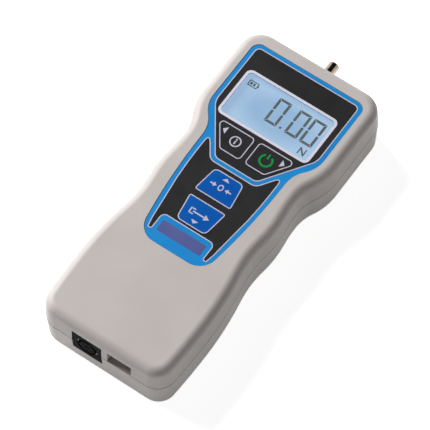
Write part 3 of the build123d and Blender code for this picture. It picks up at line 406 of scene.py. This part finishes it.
FINISHES: tuple[Finish, ...] = (
    Finish("case_plastic", (193, 186, 183), (186, 179, 176), 0.5, grain_size=0.35, relief=0.012,
           patch=22.0, sheen=0.4),
    Finish("label_film", (20, 136, 208), (14, 129, 199), 0.4, grain_size=0.4, relief=0.004, sheen=0.25),
    Weave("key_black", (20, 20, 22), (34, 34, 37), 0.45, sheen=0.2),
    Weave("key_blue", (0, 77, 162), (0, 90, 175), 0.45, sheen=0.08),
    Finish("switch_plastic", (40, 40, 43), (30, 30, 33), 0.5, grain_size=0.3),
    ClearSheet("clear_lens", (232, 240, 246), (222, 232, 240), 0.06, relief=0.0005),
    # The panel's glow is backlight and painted light that washes out the window's shadow.
    LitPanel("lcd_glass", (142, 181, 218), (165, 200, 233), 0.3, relief=0.0005, sheen=0.15, glow=0.8),
    Finish("light_guide", (240, 244, 247), (226, 232, 238), 0.4, relief=0.003),
    Finish("frame_white", (232, 232, 228), (220, 220, 216), 0.5),
    CircuitBoard("board_green", (20, 88, 48), (14, 74, 40), 0.3, relief=0.004, coat=0.3),
    Finish("chip_black", (28, 28, 30), (40, 40, 43), 0.55, grain_size=0.2, relief=0.006),
    Finish("ribbon_amber", (196, 120, 40), (178, 104, 34), 0.28, grain=Grain.DRAWN_ALONG_Y, coat=0.3),
    Finish("screw_zinc", (196, 197, 200), (172, 172, 174), 0.3, 1.0, Grain.RINGS_ALONG_Z, 0.2, 0.004, 3.0),
    Finish("steel_ground", (184, 168, 150), (146, 132, 116), 0.16, 1.0, Grain.RINGS_ALONG_Y, 0.3, 0.0006,
           4.0),
    Finish("alloy", (206, 208, 210), (190, 192, 195), 0.32, 1.0, Grain.DRAWN_ALONG_X, 0.3, 0.004, 10.0),
    Finish("brass_bush", (212, 180, 104), (186, 150, 78), 0.28, 1.0, Grain.RINGS_ALONG_Z, 0.2, 0.004, 3.0),
    Finish("can_tin", (200, 200, 198), (182, 182, 180), 0.3, 1.0, Grain.DRAWN_ALONG_Y, 0.3, 0.004, 6.0),
    Finish("gauge_foil", (204, 150, 60), (180, 126, 46), 0.35, 0.0, Grain.DRAWN_ALONG_Y, 0.25, 0.002,
           2.0, 0.3),
    Finish("socket_black", (9, 9, 9), (17, 17, 18), 0.62, grain_size=0.3, relief=0.003, patch=5.0,
           sheen=0.02),
    Finish("nickel", (200, 198, 192), (176, 174, 168), 0.22, 1.0, Grain.DRAWN_ALONG_Y, 0.2, 0.002, 3.0),
    WrappedCell("battery_wrap", (44, 118, 82), (36, 100, 70), 0.3, relief=0.004, coat=0.3),
    Finish("plate_silver", (206, 206, 208), (194, 194, 197), 0.36, 1.0, Grain.DRAWN_ALONG_X, 0.2, 0.003,
           12.0),
)

PRINT_FINISHES: tuple[Finish, ...] = (
    Finish("print_black", (22, 22, 23), (34, 33, 35), 0.46, grain_size=0.5, relief=0.004, patch=30.0,
           sheen=0.2),
    Finish("print_line", (188, 184, 202), (198, 194, 210), 0.45, relief=0.003, sheen=0.3),
    Finish("print_border", (208, 206, 220), (216, 214, 227), 0.45, relief=0.003, sheen=0.3),
    Finish("print_green", (0, 136, 58), (0, 148, 66), 0.45, relief=0.003, sheen=0.15),
    Finish("print_plate", (72, 82, 142), (80, 90, 148), 0.45, grain_size=0.4, relief=0.003, sheen=0.3),
    Finish("lcd_segment", (44, 57, 50), (54, 67, 59), 0.4, relief=0.001, sheen=0.1),
    # Near-black painted shade for the groove between the two halves of the case.
    Finish("seam_painted_shade", (12, 11, 11), (42, 39, 38), 0.9, relief=0.002, sheen=0.05),
)


class Palette:
    """Every material of the gauge, by name."""

    def __init__(self, finishes: Iterable[Finish]) -> None:
        """Make the materials."""
        self.made = {finish.slot: finish.material() for finish in finishes}

    def __getitem__(self, name: str) -> bpy.types.Material:
        """Return one material."""
        return self.made[name]


# Flat pieces


def setback(before: Vector, at: Vector, after: Vector, radius: float) -> float:
    """Work out how far from a corner its bevel starts, for an arc of a given radius.

    Args:
        before: The corner before this one.
        at: This corner.
        after: The corner after this one.
        radius: Radius of the arc.

    Returns:
        The distance along both edges.
    """
    half = (before - at).angle(after - at) / 2
    return radius * (1 / math.sin(half) - 1) / (2 * math.cos(half) * (1 - math.sqrt(0.5)))


def flat_face(corners: Sequence[Corner]) -> bmesh.types.BMesh:
    """Start a mesh from one flat face whose corners the bevel operator rounds.

    Args:
        corners: X, Y and radius of each corner, anticlockwise, in millimetres.

    Returns:
        The mesh, at a height of 0.
    """
    made = bmesh.new()
    verts = [made.verts.new((x * MM, y * MM, 0.0)) for x, y, _ in corners]
    made.faces.new(verts)
    places = [vert.co.copy() for vert in verts]
    for index, (vert, (_, _, radius)) in enumerate(zip(verts, corners)):
        if radius:
            after = places[(index + 1) % len(places)]
            offset = setback(places[index - 1], places[index], after, radius * MM)
            bmesh.ops.bevel(
                made, geom=[vert], offset=offset, offset_type="OFFSET", affect="VERTICES",
                segments=CORNER_STEPS, profile=0.5, material=-1,
            )
    return made


def mirrored(half: Sequence[Corner], centre: float = 0.0) -> list[Corner]:
    """Complete an outline that is the same on both sides of a line along Y.

    Args:
        half: The right half's corners, from bottom to top.
        centre: X of the line.

    Returns:
        The whole outline, anticlockwise.
    """
    return [*half, *[(2 * centre - x, y, radius) for x, y, radius in reversed(half)]]


def box_corners(x0: float, x1: float, y0: float, y1: float, radius: float = 0.0) -> list[Corner]:
    """Return the corners of a rectangle."""
    return [(x0, y0, radius), (x1, y0, radius), (x1, y1, radius), (x0, y1, radius)]


def flat_top(node: str) -> bmesh.types.BMesh:
    """Copy the flat top of a CAD node.

    Args:
        node: The node's name.

    Returns:
        A mesh with only the top's faces, merged.
    """
    made = bmesh.new()
    made.from_mesh(frame["nodes"][node].data)
    bmesh.ops.remove_doubles(made, verts=made.verts, dist=WELD)
    top = max(vert.co.z for vert in made.verts)
    under = [face for face in made.faces if min(vert.co.z for vert in face.verts) < top - 0.01 * MM]
    bmesh.ops.delete(made, geom=under, context="FACES")
    return made


def edge_loops(edges: Iterable[bmesh.types.BMEdge]) -> list[list[bmesh.types.BMEdge]]:
    """Sort edges into the closed loops that they form."""
    left = set(edges)
    loops = []
    while left:
        loop = []
        front = [left.pop()]
        while front:
            edge = front.pop()
            loop.append(edge)
            near = {other for vert in edge.verts for other in vert.link_edges if other in left}
            left -= near
            front.extend(near)
        loops.append(loop)
    return loops


def raise_sheet(sheet: bmesh.types.BMesh, low: float, high: float) -> None:
    """Give a flat sheet its thickness.

    Args:
        sheet: The flat mesh.
        low: Height of its underside, in millimetres.
        high: Height of its top, in millimetres.
    """
    for vert in sheet.verts:
        vert.co.z = low * MM
    grown = bmesh.ops.extrude_face_region(sheet, geom=sheet.faces[:])["geom"]
    upper = [item for item in grown if isinstance(item, bmesh.types.BMVert)]
    bmesh.ops.translate(sheet, verts=upper, vec=(0.0, 0.0, (high - low) * MM))
    bmesh.ops.recalc_face_normals(sheet, faces=sheet.faces[:])


class Workshop:
    """Turns meshes into pieces of the gauge that ride on its bodies."""

    def __init__(self, palette: Palette) -> None:
        """Keep the materials."""
        self.palette = palette

    def add(self, name: str, mesh: bmesh.types.BMesh, body: str, slot: str,
            *materials: str) -> bpy.types.Object:
        """Make an object of a mesh.

        Args:
            name: The piece's name.
            mesh: Its mesh, in place, which is freed.
            body: The body that it rides on.
            slot: The record's slot nearest to its finish; not used.
            materials: Its materials, in the order of its faces' numbers.

        Returns:
            The object.
        """
        data = bpy.data.meshes.new(name)
        mesh.to_mesh(data)
        mesh.free()
        for material in materials:
            data.materials.append(self.palette[material])
        piece = bpy.data.objects.new(name, data)
        bpy.context.scene.collection.objects.link(piece)
        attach(piece, body)
        log.info("%s: %d faces on %s", name, len(data.polygons), body)
        return piece

    def join(self, parts: Sequence[bmesh.types.BMesh]) -> bmesh.types.BMesh:
        """Put several meshes into one and free them."""
        made = bmesh.new()
        for part in parts:
            data = bpy.data.meshes.new("part")
            part.to_mesh(data)
            part.free()
            made.from_mesh(data)
            bpy.data.meshes.remove(data)
        return made

    def sheet(self, corners: Sequence[Corner], low: float, high: float) -> bmesh.types.BMesh:
        """Make one flat plate between two heights."""
        made = flat_face(corners)
        raise_sheet(made, low, high)
        return made

    def ring(self, x: float, y: float, inner: float, outer: float, low: float, high: float,
             start: float = 0.0, sweep: float = 360.0) -> bmesh.types.BMesh:
        """Spin a flat ring or part of one.

        Args:
            x: X of the centre.
            y: Y of the centre.
            inner: Inner radius.
            outer: Outer radius.
            low: Height of the underside.
            high: Height of the top.
            start: Angle at which the ring starts, in degrees from +X.
            sweep: Angle that it covers, in degrees.

        Returns:
            The closed mesh.
        """
        made = bmesh.new()
        bmesh.ops.create_grid(made, x_segments=1, y_segments=1, size=0.5)
        turn = Matrix.Rotation(math.radians(start), 4, "Z")
        middle = Vector((x, y, (low + high) / 2)) * MM
        stand = Matrix.Rotation(math.radians(90), 4, "X")
        spread = Matrix.Diagonal(((outer - inner) * MM, 1.0, (high - low) * MM, 1.0))
        shift = Matrix.Translation(((outer + inner) / 2 * MM, 0.0, 0.0))
        placed = Matrix.Translation(middle) @ turn @ shift @ spread @ stand
        bmesh.ops.transform(made, matrix=placed, verts=made.verts)
        full = sweep >= 360.0
        if full:
            bmesh.ops.delete(made, geom=made.faces[:], context="FACES_ONLY")
        bmesh.ops.spin(
            made, geom=made.faces[:] + made.edges[:] + made.verts[:], cent=middle, axis=(0.0, 0.0, 1.0),
            angle=math.radians(sweep), steps=RING_STEPS, use_merge=full,
        )
        bmesh.ops.remove_doubles(made, verts=made.verts, dist=WELD)
        bmesh.ops.recalc_face_normals(made, faces=made.faces[:])
        return made


@dataclass
class FrameDressing:
    """Dresses every node of the frame in its slot's finish."""

    shop: Workshop

    def build(self) -> None:
        """Put the slot's material on each node."""
        for part in frame["record"]["subparts"]:
            data = frame["nodes"][part["node"]].data
            material = self.shop.palette[part["material_slot"]]
            for index in range(max(1, len(data.materials))):
                if index < len(data.materials):
                    data.materials[index] = material
                else:
                    data.materials.append(material)
            log.info("%s dressed as %s", part["node"], part["material_slot"])


@dataclass
class LabelPrint:
    """The black fields, fine lines, display border and nameplate printed on the label.

    Attributes:
        shop: The workshop.
        ink: Thickness of one layer of ink.
        line: Width of the fine lines.
        field_edge: X of the upper field's side.
        field_top: Y of its top.
        field_foot: X and Y of its foot corner.
        shoulder: Y of its shoulder corner.
        border: Half width, half height and radius of the display border.
        display_y: Y of the display's middle.
        plate: Half width, lowest and highest Y of the nameplate.
    """

    shop: Workshop
    ink: float = 0.02
    line: float = 0.4
    field_edge: float = 24.9
    field_top: float = 67.9
    field_foot: tuple[float, float] = (10.0, 16.15)
    shoulder: float = 37.6
    border: tuple[float, float, float] = (21.95, 11.95, 2.6)
    display_y: float = 45.85
    plate: tuple[float, float, float] = (10.35, -23.5, -18.2)

    def build(self) -> None:
        """Print the label."""
        film = flat_top("keypad_overlay")
        rims = edge_loops(edge for edge in film.edges if edge.is_boundary)
        rims.sort(key=lambda loop: sum(edge.calc_length() for edge in loop))
        holes = rims[:-1]
        split = (self.field_foot[1] - 1.0) * MM
        upper = [loop for loop in holes if loop[0].verts[0].co.y > split]
        lower = [loop for loop in holes if loop[0].verts[0].co.y < split]
        self.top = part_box("keypad_overlay")[1][2] / MM
        self._field("upper_field", self._upper_corners(), upper)
        self._field("lower_field", self._lower_corners(), lower)
        self._border(upper[-1])
        half, low, high = self.plate
        outline = box_corners(-half, half, low, high, 0.4)
        plate = self.shop.sheet(outline, self.top - self.ink, self.top + self.ink)
        self.shop.add("nameplate_print", plate, "case", "key_blue", "print_plate")
        film.free()

    def _upper_corners(self) -> list[Corner]:
        """Return the outline of the field round the display."""
        foot_x, foot_y = self.field_foot
        return mirrored([
            (foot_x, foot_y, 3.5),
            (self.field_edge, self.shoulder, 8.0),
            (self.field_edge, self.field_top, 2.3),
        ])

    def _lower_corners(self) -> list[Corner]:
        """Return the outline of the field round the lower keys."""
        return mirrored([
            (12.2, -16.0, 2.0),
            (12.2, -24.0, 0.9),
            (14.1, -24.4, 0.7),
            (15.0, -20.0, 0.0),
            (15.55, -15.0, 0.0),
            (16.1, -10.0, 0.0),
            (16.7, -5.0, 0.0),
            (17.3, 0.0, 0.0),
            (17.8, 8.0, 0.0),
            (17.95, 15.0, 0.0),
            (17.95, 24.75, 1.1),
            (10.84, 14.55, 3.6),
        ])

    def _loop_copy(self, mesh: bmesh.types.BMesh,
                   loop: Sequence[bmesh.types.BMEdge]) -> list[bmesh.types.BMEdge]:
        """Copy a loop of edges into a flat mesh."""
        verts = {}
        for edge in loop:
            for vert in edge.verts:
                if vert not in verts:
                    verts[vert] = mesh.verts.new((vert.co.x, vert.co.y, 0.0))
        return [mesh.edges.new([verts[vert] for vert in edge.verts]) for edge in loop]

    def _field(self, name: str, corners: Sequence[Corner],
               holes: Sequence[Sequence[bmesh.types.BMEdge]]) -> None:
        """Print a black field with a fine line round it and holes for what it surrounds.

        Args:
            name: The piece's name.
            corners: The field's outline.
            holes: Loops of the label that stay open.
        """
        made = flat_face(corners)
        face = made.faces[:][0]
        bmesh.ops.inset_individual(made, faces=[face], thickness=self.line * MM, use_even_offset=True)
        for rim in made.faces:
            rim.material_index = 1
        edges = face.edges[:]
        made.faces.remove(face)
        for loop in holes:
            edges += self._loop_copy(made, loop)
        before = set(made.faces)
        self._fill(made, edges)
        for filled in made.faces:
            if filled not in before:
                filled.material_index = 0
        raise_sheet(made, self.top - self.ink, self.top + self.ink)
        self.shop.add(name, made, "case", "key_black", "print_black", "print_line")

    def _fill(self, mesh: bmesh.types.BMesh, edges: Sequence[bmesh.types.BMEdge]) -> None:
        """Fill the flat area between closed loops of edges with triangles."""
        up = (0.0, 0.0, 1.0)
        bmesh.ops.triangle_fill(mesh, use_beauty=True, use_dissolve=False, edges=edges, normal=up)

    def _border(self, window: Sequence[bmesh.types.BMEdge]) -> None:
        """Print the border round the display."""
        half_x, half_y, radius = self.border
        low, high = self.display_y - half_y, self.display_y + half_y
        made = flat_face(box_corners(-half_x, half_x, low, high, radius))
        face = made.faces[:][0]
        edges = face.edges[:]
        made.faces.remove(face)
        edges += self._loop_copy(made, window)
        self._fill(made, edges)
        raise_sheet(made, self.top - self.ink, self.top + 2 * self.ink)
        self.shop.add("display_border", made, "case", "frame_white", "print_border")


@dataclass
class SeamShadeStrip:
    """A near-black strip of painted shade in the groove between the two halves of the case, at the bottom
    of their chamfers.

    Attributes:
        shop: The workshop.
        height: Z of the parting plane.
        chamfer: Size of each half's chamfer.
        reach: How far the strip of painted shade stands up the chamfers.
        depth: How far it stands out of their root.
        slack: Play within which a height counts as met.
    """

    shop: Workshop
    height: float = 14.4
    chamfer: float = 0.2
    reach: float = 0.19
    depth: float = 0.16
    slack: float = 0.005

    def build(self) -> None:
        """Lay a thin near-black band of painted shade along the chamfers' root."""
        made = bmesh.new()
        made.from_mesh(frame["nodes"]["front_cover"].data)
        bmesh.ops.remove_doubles(made, verts=made.verts, dist=WELD)
        root = {edge for edge in made.edges if self._is_root(edge)}
        others = [edge for edge in made.edges if edge not in root]
        bmesh.ops.delete(made, geom=made.faces[:], context="FACES_ONLY")
        bmesh.ops.delete(made, geom=others, context="EDGES")
        loose = [vert for vert in made.verts if not vert.link_edges]
        bmesh.ops.delete(made, geom=loose, context="VERTS")
        bmesh.ops.translate(made, verts=made.verts, vec=(0.0, 0.0, -self.reach * MM))
        grown = bmesh.ops.extrude_edge_only(made, edges=made.edges[:])["geom"]
        upper = [item for item in grown if isinstance(item, bmesh.types.BMVert)]
        bmesh.ops.translate(made, verts=upper, vec=(0.0, 0.0, 2 * self.reach * MM))
        bmesh.ops.recalc_face_normals(made, faces=made.faces[:])
        bmesh.ops.solidify(made, geom=made.faces[:], thickness=-self.depth * MM)
        bmesh.ops.recalc_face_normals(made, faces=made.faces[:])
        # The strip is painted shade: a dark sheet where the groove would only be in shadow.
        self.shop.add("seam_shade_strip", made, "case", "socket_black", "seam_painted_shade")

    def _is_root(self, edge: bmesh.types.BMEdge) -> bool:
        """Tell whether an edge of the front half lies at the root of its outer chamfer."""
        level = self.height * MM
        if any(abs(vert.co.z - level) > self.slack * MM for vert in edge.verts):
            return False
        tops = [max(vert.co.z for vert in face.verts) for face in edge.link_faces]
        return any(abs(top - level - self.chamfer * MM) < self.slack * MM for top in tops)


@dataclass
class KeyPrint:
    """The caps' printed skins and their marks.

    Attributes:
        shop: The workshop.
        ink: Thickness of one layer of ink.
        line: Width of the line round a cap.
        softness: Corner radius of the triangles.
    """

    shop: Workshop
    ink: float = 0.02
    line: float = 0.42
    softness: float = 0.1

    def build(self) -> None:
        """Print the four keys."""
        skins = {"info": "key_black", "power": "key_black", "zero": "key_blue", "send": "key_blue"}
        for key, slot in skins.items():
            self._skin(key, slot)
        self.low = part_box("info_key")[1][2] / MM
        self.high = self.low + 2 * self.ink
        left = self._wedge((-14.75, 28.8), (-12.95, 30.6), (-12.95, 27.0))
        right = self._wedge((15.1, 28.7), (13.3, 26.9), (13.3, 30.5))
        up = self._wedge((0.0, 11.0), (-1.7, 9.5), (1.7, 9.5))
        down = self._wedge((0.0, -13.2), (1.7, -11.7), (-1.7, -11.7))
        self._mark("info", "turn_left", [left], "print_line")
        self._mark("info", "info_sign", self._info_sign(-7.2, 26.6), "print_line")
        self._mark("power", "power_sign", self._power_sign(7.75, 26.35), "print_green")
        self._mark("power", "turn_right", [right], "print_line")
        self._mark("zero", "step_up", [up], "print_line")
        self._mark("zero", "zero_sign", self._zero_sign(0.0, 6.1), "print_line")
        self._mark("send", "step_down", [down], "print_line")
        self._mark("send", "send_sign", self._send_sign(0.0, -8.55), "print_line")

    def _skin(self, key: str, slot: str) -> None:
        """Print one cap's skin with the line at its edge."""
        made = flat_top(f"{key}_key")
        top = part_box(f"{key}_key")[1][2] / MM
        joined = bmesh.ops.dissolve_faces(made, faces=made.faces[:])["region"]
        bmesh.ops.inset_individual(made, faces=joined, thickness=self.line * MM, use_even_offset=True)
        for face in made.faces:
            face.material_index = 0 if face in joined else 1
        raise_sheet(made, top - self.ink, top + self.ink)
        self.shop.add(f"{key}_skin", made, f"{key}_button", slot, slot, "print_line")

    def _mark(self, key: str, name: str, parts: Sequence[bmesh.types.BMesh], ink: str) -> None:
        """Print one mark on a key."""
        self.shop.add(name, self.shop.join(parts), f"{key}_button", "frame_white", ink)

    def _wedge(self, *points: Point) -> bmesh.types.BMesh:
        """Return a small triangle from its tip and base, anticlockwise."""
        return self.shop.sheet([(*point, self.softness) for point in points], self.low, self.high)

    def _bar(self, x0: float, x1: float, y0: float, y1: float, radius: float = 0.12) -> bmesh.types.BMesh:
        """Return a small rectangle."""
        return self.shop.sheet(box_corners(x0, x1, y0, y1, radius), self.low, self.high)

    def _info_sign(self, x: float, y: float) -> list[bmesh.types.BMesh]:
        """Return a ring round a small i."""
        return [
            self.shop.ring(x, y, 1.95, 2.5, self.low, self.high),
            self._bar(x - 0.32, x + 0.32, y - 1.3, y + 0.4),
            self._bar(x - 0.34, x + 0.34, y + 0.75, y + 1.4),
        ]

    def _power_sign(self, x: float, y: float) -> list[bmesh.types.BMesh]:
        """Return an open ring with a bar in its gap."""
        return [
            self.shop.ring(x, y, 2.2, 3.05, self.low, self.high, 125.0, 290.0),
            self._bar(x - 0.38, x + 0.38, y + 0.9, y + 3.3),
        ]

    def _zero_sign(self, x: float, y: float) -> list[bmesh.types.BMesh]:
        """Return a nought between two arrows that point at it."""
        nought = self.shop.ring(0.0, 0.0, 0.95, 1.5, self.low, self.high)
        bmesh.ops.scale(nought, vec=(0.8, 1.0, 1.0), verts=nought.verts)
        bmesh.ops.translate(nought, vec=(x * MM, y * MM, 0.0), verts=nought.verts)
        marks = [nought]
        for side in (-1.0, 1.0):
            near, far, tail = x + side * 2.0, x + side * 3.5, x + side * 5.0
            ends = [(far, y + 1.1), (far, y - 1.1)]
            if side > 0:
                ends.reverse()
            marks.append(self._wedge((near, y), *ends))
            marks.append(self._bar(min(far, tail), max(far, tail), y - 0.3, y + 0.3))
        return marks

    def _send_sign(self, x: float, y: float) -> list[bmesh.types.BMesh]:
        """Return a small box with an arrow that leaves it."""
        return [
            self._bar(x - 4.6, x - 4.05, y - 1.4, y + 1.4),
            self._bar(x - 4.2, x - 2.4, y + 0.9, y + 1.4),
            self._bar(x - 4.2, x - 2.4, y - 1.4, y - 0.9),
            self._bar(x - 3.0, x + 2.4, y - 0.3, y + 0.3),
            self._wedge((x + 4.6, y), (x + 2.3, y + 1.35), (x + 2.3, y - 1.35)),
        ]


@dataclass
class Readout:
    """The segments and small signs of the display.

    Attributes:
        shop: The workshop.
        film: Thickness of a segment.
        stroke: Width of a segment.
        gap: Distance between neighbouring segments.
        digits: Lowest and highest X of each digit.
        low: Lowest Y of the digits.
        high: Highest Y of the digits.
        notch: Half the distance between two side segments where they meet.
        point: Length of the pointed end of a side segment.
        shift: How far the panel's print stands from its seen place, for the depth of the window.
        cell_wall: Width of the line round the battery sign.
    """

    shop: Workshop
    film: float = 0.02
    stroke: float = 1.15
    gap: float = 0.14
    shift: tuple[float, float] = (-0.72, 0.98)
    digits: tuple[tuple[float, float], ...] = ((-3.8, 2.0), (6.0, 11.9), (13.1, 19.1))
    low: float = 41.3
    high: float = 53.7
    notch: float = 0.15
    point: float = 0.4
    cell_wall: float = 0.4

    def build(self) -> None:
        """Lay the readout on the panel."""
        self.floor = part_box("lcd_panel")[1][2] / MM
        for number, (x0, x1) in enumerate(self.digits):
            self._lay(f"digit_{number}", [self._bar(corners) for corners in self._nought(x0, x1)])
        self._lay("decimal_point", [self._bar(box_corners(3.3, 4.3, 41.6, 42.6, 0.15))])
        self._lay("unit_sign", [self._bar(self._unit(15.6, 18.7, 36.3, 39.7, 0.55))])
        self._lay("charge_sign", self._charge(-18.6, -14.2, 51.1, 53.9))

    def _lay(self, name: str, parts: Sequence[bmesh.types.BMesh]) -> None:
        """Add one sign of the readout."""
        self.shop.add(name, self.shop.join(parts), "case", "chip_black", "lcd_segment")

    def _bar(self, corners: Sequence[Corner]) -> bmesh.types.BMesh:
        """Return one flat segment."""
        shift_x, shift_y = self.shift
        moved = [(x + shift_x, y + shift_y, radius) for x, y, radius in corners]
        return self.shop.sheet(moved, self.floor, self.floor + self.film)

    def _nought(self, x0: float, x1: float) -> list[list[Corner]]:
        """Return the six segments of a nought.

        Args:
            x0: Lowest X of the digit.
            x1: Highest X of the digit.

        Returns:
            The corners of each segment.
        """
        wide, gap, low, high = self.stroke, self.gap, self.low, self.high
        waist = (low + high) / 2
        left, right = x0 + gap, x1 - gap
        near, far = left + wide, right - wide
        made = [
            [(left, high, 0), (near, high - wide, 0), (far, high - wide, 0), (right, high, 0)],
            [(left, low, 0), (right, low, 0), (far, low + wide, 0), (near, low + wide, 0)],
        ]
        for outer, inner in ((x0, x0 + wide), (x1, x1 - wide)):
            middle = (outer + inner) / 2
            for end, way in ((low, 1), (high, -1)):
                tip = waist - way * self.notch
                root = tip - way * self.point
                made.append([
                    (outer, end + way * gap, 0), (inner, end + way * (gap + wide), 0),
                    (inner, root, 0), (middle, tip, 0), (outer, root, 0),
                ])
        return made

    def _unit(self, x0: float, x1: float, y0: float, y1: float, wide: float) -> list[Corner]:
        """Return the outline of a capital N."""
        slope = 2.0 * wide
        return [
            (x0, y0, 0), (x0 + wide, y0, 0), (x0 + wide, y1 - slope, 0), (x1 - wide, y0, 0), (x1, y0, 0),
            (x1, y1, 0), (x1 - wide, y1, 0), (x1 - wide, y0 + slope, 0), (x0 + wide, y1, 0), (x0, y1, 0),
        ]

    def _charge(self, x0: float, x1: float, y0: float, y1: float) -> list[bmesh.types.BMesh]:
        """Return a small cell with two bars of charge."""
        wall = self.cell_wall
        bars = [
            (x0, x1, y0, y0 + wall),
            (x0, x1, y1 - wall, y1),
            (x0, x0 + wall, y0 + wall, y1 - wall),
            (x1 - wall, x1, y0 + wall, y1 - wall),
            (x1, x1 + wall, y0 + 0.9, y1 - 0.9),
            (x0 + 0.8, x0 + 1.8, y0 + 0.8, y1 - 0.8),
            (x0 + 2.2, x0 + 3.2, y0 + 0.8, y1 - 0.8),
        ]
        return [self._bar(box_corners(*bar)) for bar in bars]


# Studio


@dataclass(frozen=True)
class Lamp:
    """A soft square lamp that looks at the gauge.

    Attributes:
        name: The lamp's name.
        place: Where it stands, in metres.
        size: Its side, in metres.
        power: Its power, in watts.
        colour: Its linear colour.
    """

    name: str
    place: tuple[float, float, float]
    size: float
    power: float
    colour: Rgb = (1.0, 1.0, 1.0)

    def hang(self) -> None:
        """Put the lamp in the scene."""
        data = bpy.data.lights.new(self.name, "AREA")
        data.shape = "SQUARE"
        data.size = self.size
        data.energy = self.power
        data.color = self.colour
        made = bpy.data.objects.new(self.name, data)
        made.location = self.place
        made.rotation_euler = Vector(self.place).to_track_quat("Z", "Y").to_euler()
        bpy.context.scene.collection.objects.link(made)


@dataclass
class Studio:
    """The floor, the world, the lamps and the camera.

    Attributes:
        floor_size: Side of the floor, in metres.
        floor_tone: Grey of the floor, 0 to 255.
        floor_lift: Light that the floor shows to the camera, to gloss and through glass.
        floor_drop: How far the floor lies under the gauge, in metres.
        sky: Strength of the world's even light.
        lens: Focal length, in millimetres.
        place: Where the camera stands, in metres.
        ceiling: Height and half side of the ceiling, in metres.
        ceiling_tone: Grey of the ceiling, 0 to 255.
        lamps: The lamps.
    """

    floor_size: float = 6.0
    floor_tone: float = 236.0
    floor_lift: float = 0.84
    floor_drop: float = 0.00005
    sky: float = 0.165
    lens: float = 284.65
    place: tuple[float, float, float] = (0.37625, -0.50815, 1.21247)
    ceiling: float = 3.0
    ceiling_tone: float = 60.0
    lamps: tuple[Lamp, ...] = (
        Lamp("key_lamp", (-1.3, 0.15, 0.98), 0.9, 42.0),
        Lamp("fill_lamp", (1.3, -0.1, 0.7), 0.9, 1.8),
    )

    def build(self) -> None:
        """Set up the studio."""
        self._floor()
        self._ceiling()
        self._world()
        for lamp in self.lamps:
            lamp.hang()
        self._camera()

    def _seen(self, graph: Graph) -> Wire:
        """Return 1 for rays from the camera, from gloss and through glass."""
        camera = graph.node("ShaderNodeLightPath", {}, {})
        rays = camera.socket.node.outputs
        glossy = Wire(graph, rays["Is Glossy Ray"])
        through = Wire(graph, rays["Is Transmission Ray"])
        return graph.math("MINIMUM", camera + glossy + through, 1.0)

    def _floor(self) -> None:
        """Lay the floor, which shows white and keeps the gauge's shadow."""
        material = bpy.data.materials.new("floor")
        graph = Graph(material)
        matt = self._matt(graph, self.floor_tone, -4.0, 40.0, 0.1)
        strength = self._seen(graph) * self.floor_lift
        glow = graph.node("ShaderNodeEmission", {}, {"Color": (1.0, 1.0, 1.0, 1.0), "Strength": strength})
        graph.finish(graph.node("ShaderNodeAddShader", {}, {0: matt, 1: glow}))
        self._level_sheet("floor", material, self.floor_size / 2, -self.floor_drop)

    def _ceiling(self) -> None:
        """Hang a dark ceiling that the camera doesn't see, which keeps the black print black."""
        material = bpy.data.materials.new("ceiling")
        graph = Graph(material)
        matt = self._matt(graph, self.ceiling_tone, 6.0, 300.0, 0.0)
        clear = graph.node("ShaderNodeBsdfTransparent", {}, {})
        camera = graph.node("ShaderNodeLightPath", {}, {})
        graph.finish(graph.node("ShaderNodeMixShader", {}, {0: camera, 1: matt, 2: clear}))
        self._level_sheet("ceiling", material, self.ceiling, self.ceiling)

    def _matt(self, graph: Graph, grey: float, change: float, patch: float, sheen: float) -> Wire:
        """Return a matt grey shader with faint patches.

        Args:
            graph: The material's graph.
            grey: Its grey, 0 to 255.
            change: How much lighter the patches are.
            patch: Width of the patches, in millimetres.
            sheen: Level of its gloss.

        Returns:
            The shader.
        """
        tones = [linear((level, level, level)) for level in (grey, grey + change)]
        base = graph.blend(graph.noise(graph.place(), patch), *tones)
        inputs = {"Base Color": base, "Roughness": 0.9, "Specular IOR Level": sheen}
        return graph.node("ShaderNodeBsdfPrincipled", {}, inputs)

    def _level_sheet(self, name: str, material: bpy.types.Material, half: float, height: float) -> None:
        """Put a level square of the studio in place.

        Args:
            name: Its name.
            material: Its material.
            half: Half its side, in metres.
            height: Its height, in metres.
        """
        mesh = bmesh.new()
        bmesh.ops.create_grid(mesh, x_segments=8, y_segments=8, size=half)
        bmesh.ops.translate(mesh, verts=mesh.verts, vec=(0.0, 0.0, height))
        data = bpy.data.meshes.new(name)
        mesh.to_mesh(data)
        mesh.free()
        data.materials.append(material)
        sheet = bpy.data.objects.new(name, data)
        bpy.context.scene.collection.objects.link(sheet)

    def _world(self) -> None:
        """Light the world evenly and show it white."""
        world = bpy.data.worlds.new("studio")
        graph = Graph(world)
        level = self._seen(graph) * (1.0 - self.sky) + self.sky
        back = graph.node("ShaderNodeBackground", {}, {"Color": (1.0, 1.0, 1.0, 1.0), "Strength": level})
        graph.node("ShaderNodeOutputWorld", {}, {"Surface": back})
        bpy.context.scene.world = world

    def _camera(self) -> None:
        """Stand the camera where the photograph was taken."""
        data = bpy.data.cameras.new("camera")
        data.lens = self.lens
        data.sensor_width = 36.0
        data.clip_start = 0.01
        data.clip_end = 20.0
        made = bpy.data.objects.new("camera", data)
        right = Vector((0.81876, 0.57399, -0.01278))
        up = Vector((-0.50292, 0.72777, 0.46628))
        back = Vector((0.27694, -0.37534, 0.88455))
        turn = Matrix((right, up, back)).transposed().to_4x4()
        made.matrix_world = Matrix.Translation(self.place) @ turn
        bpy.context.scene.collection.objects.link(made)
        bpy.context.scene.camera = made
        bpy.context.scene.view_settings.view_transform = "Standard"


def main() -> None:
    """Build the gauge's looks in order."""
    logging.basicConfig(level=logging.INFO, format="%(name)s %(message)s")
    shop = Workshop(Palette(FINISHES + PRINT_FINISHES))
    FrameDressing(shop).build()
    SeamShadeStrip(shop).build()
    LabelPrint(shop).build()
    KeyPrint(shop).build()
    Readout(shop).build()
    Studio().build()


if __name__ == "__main__":
    main()
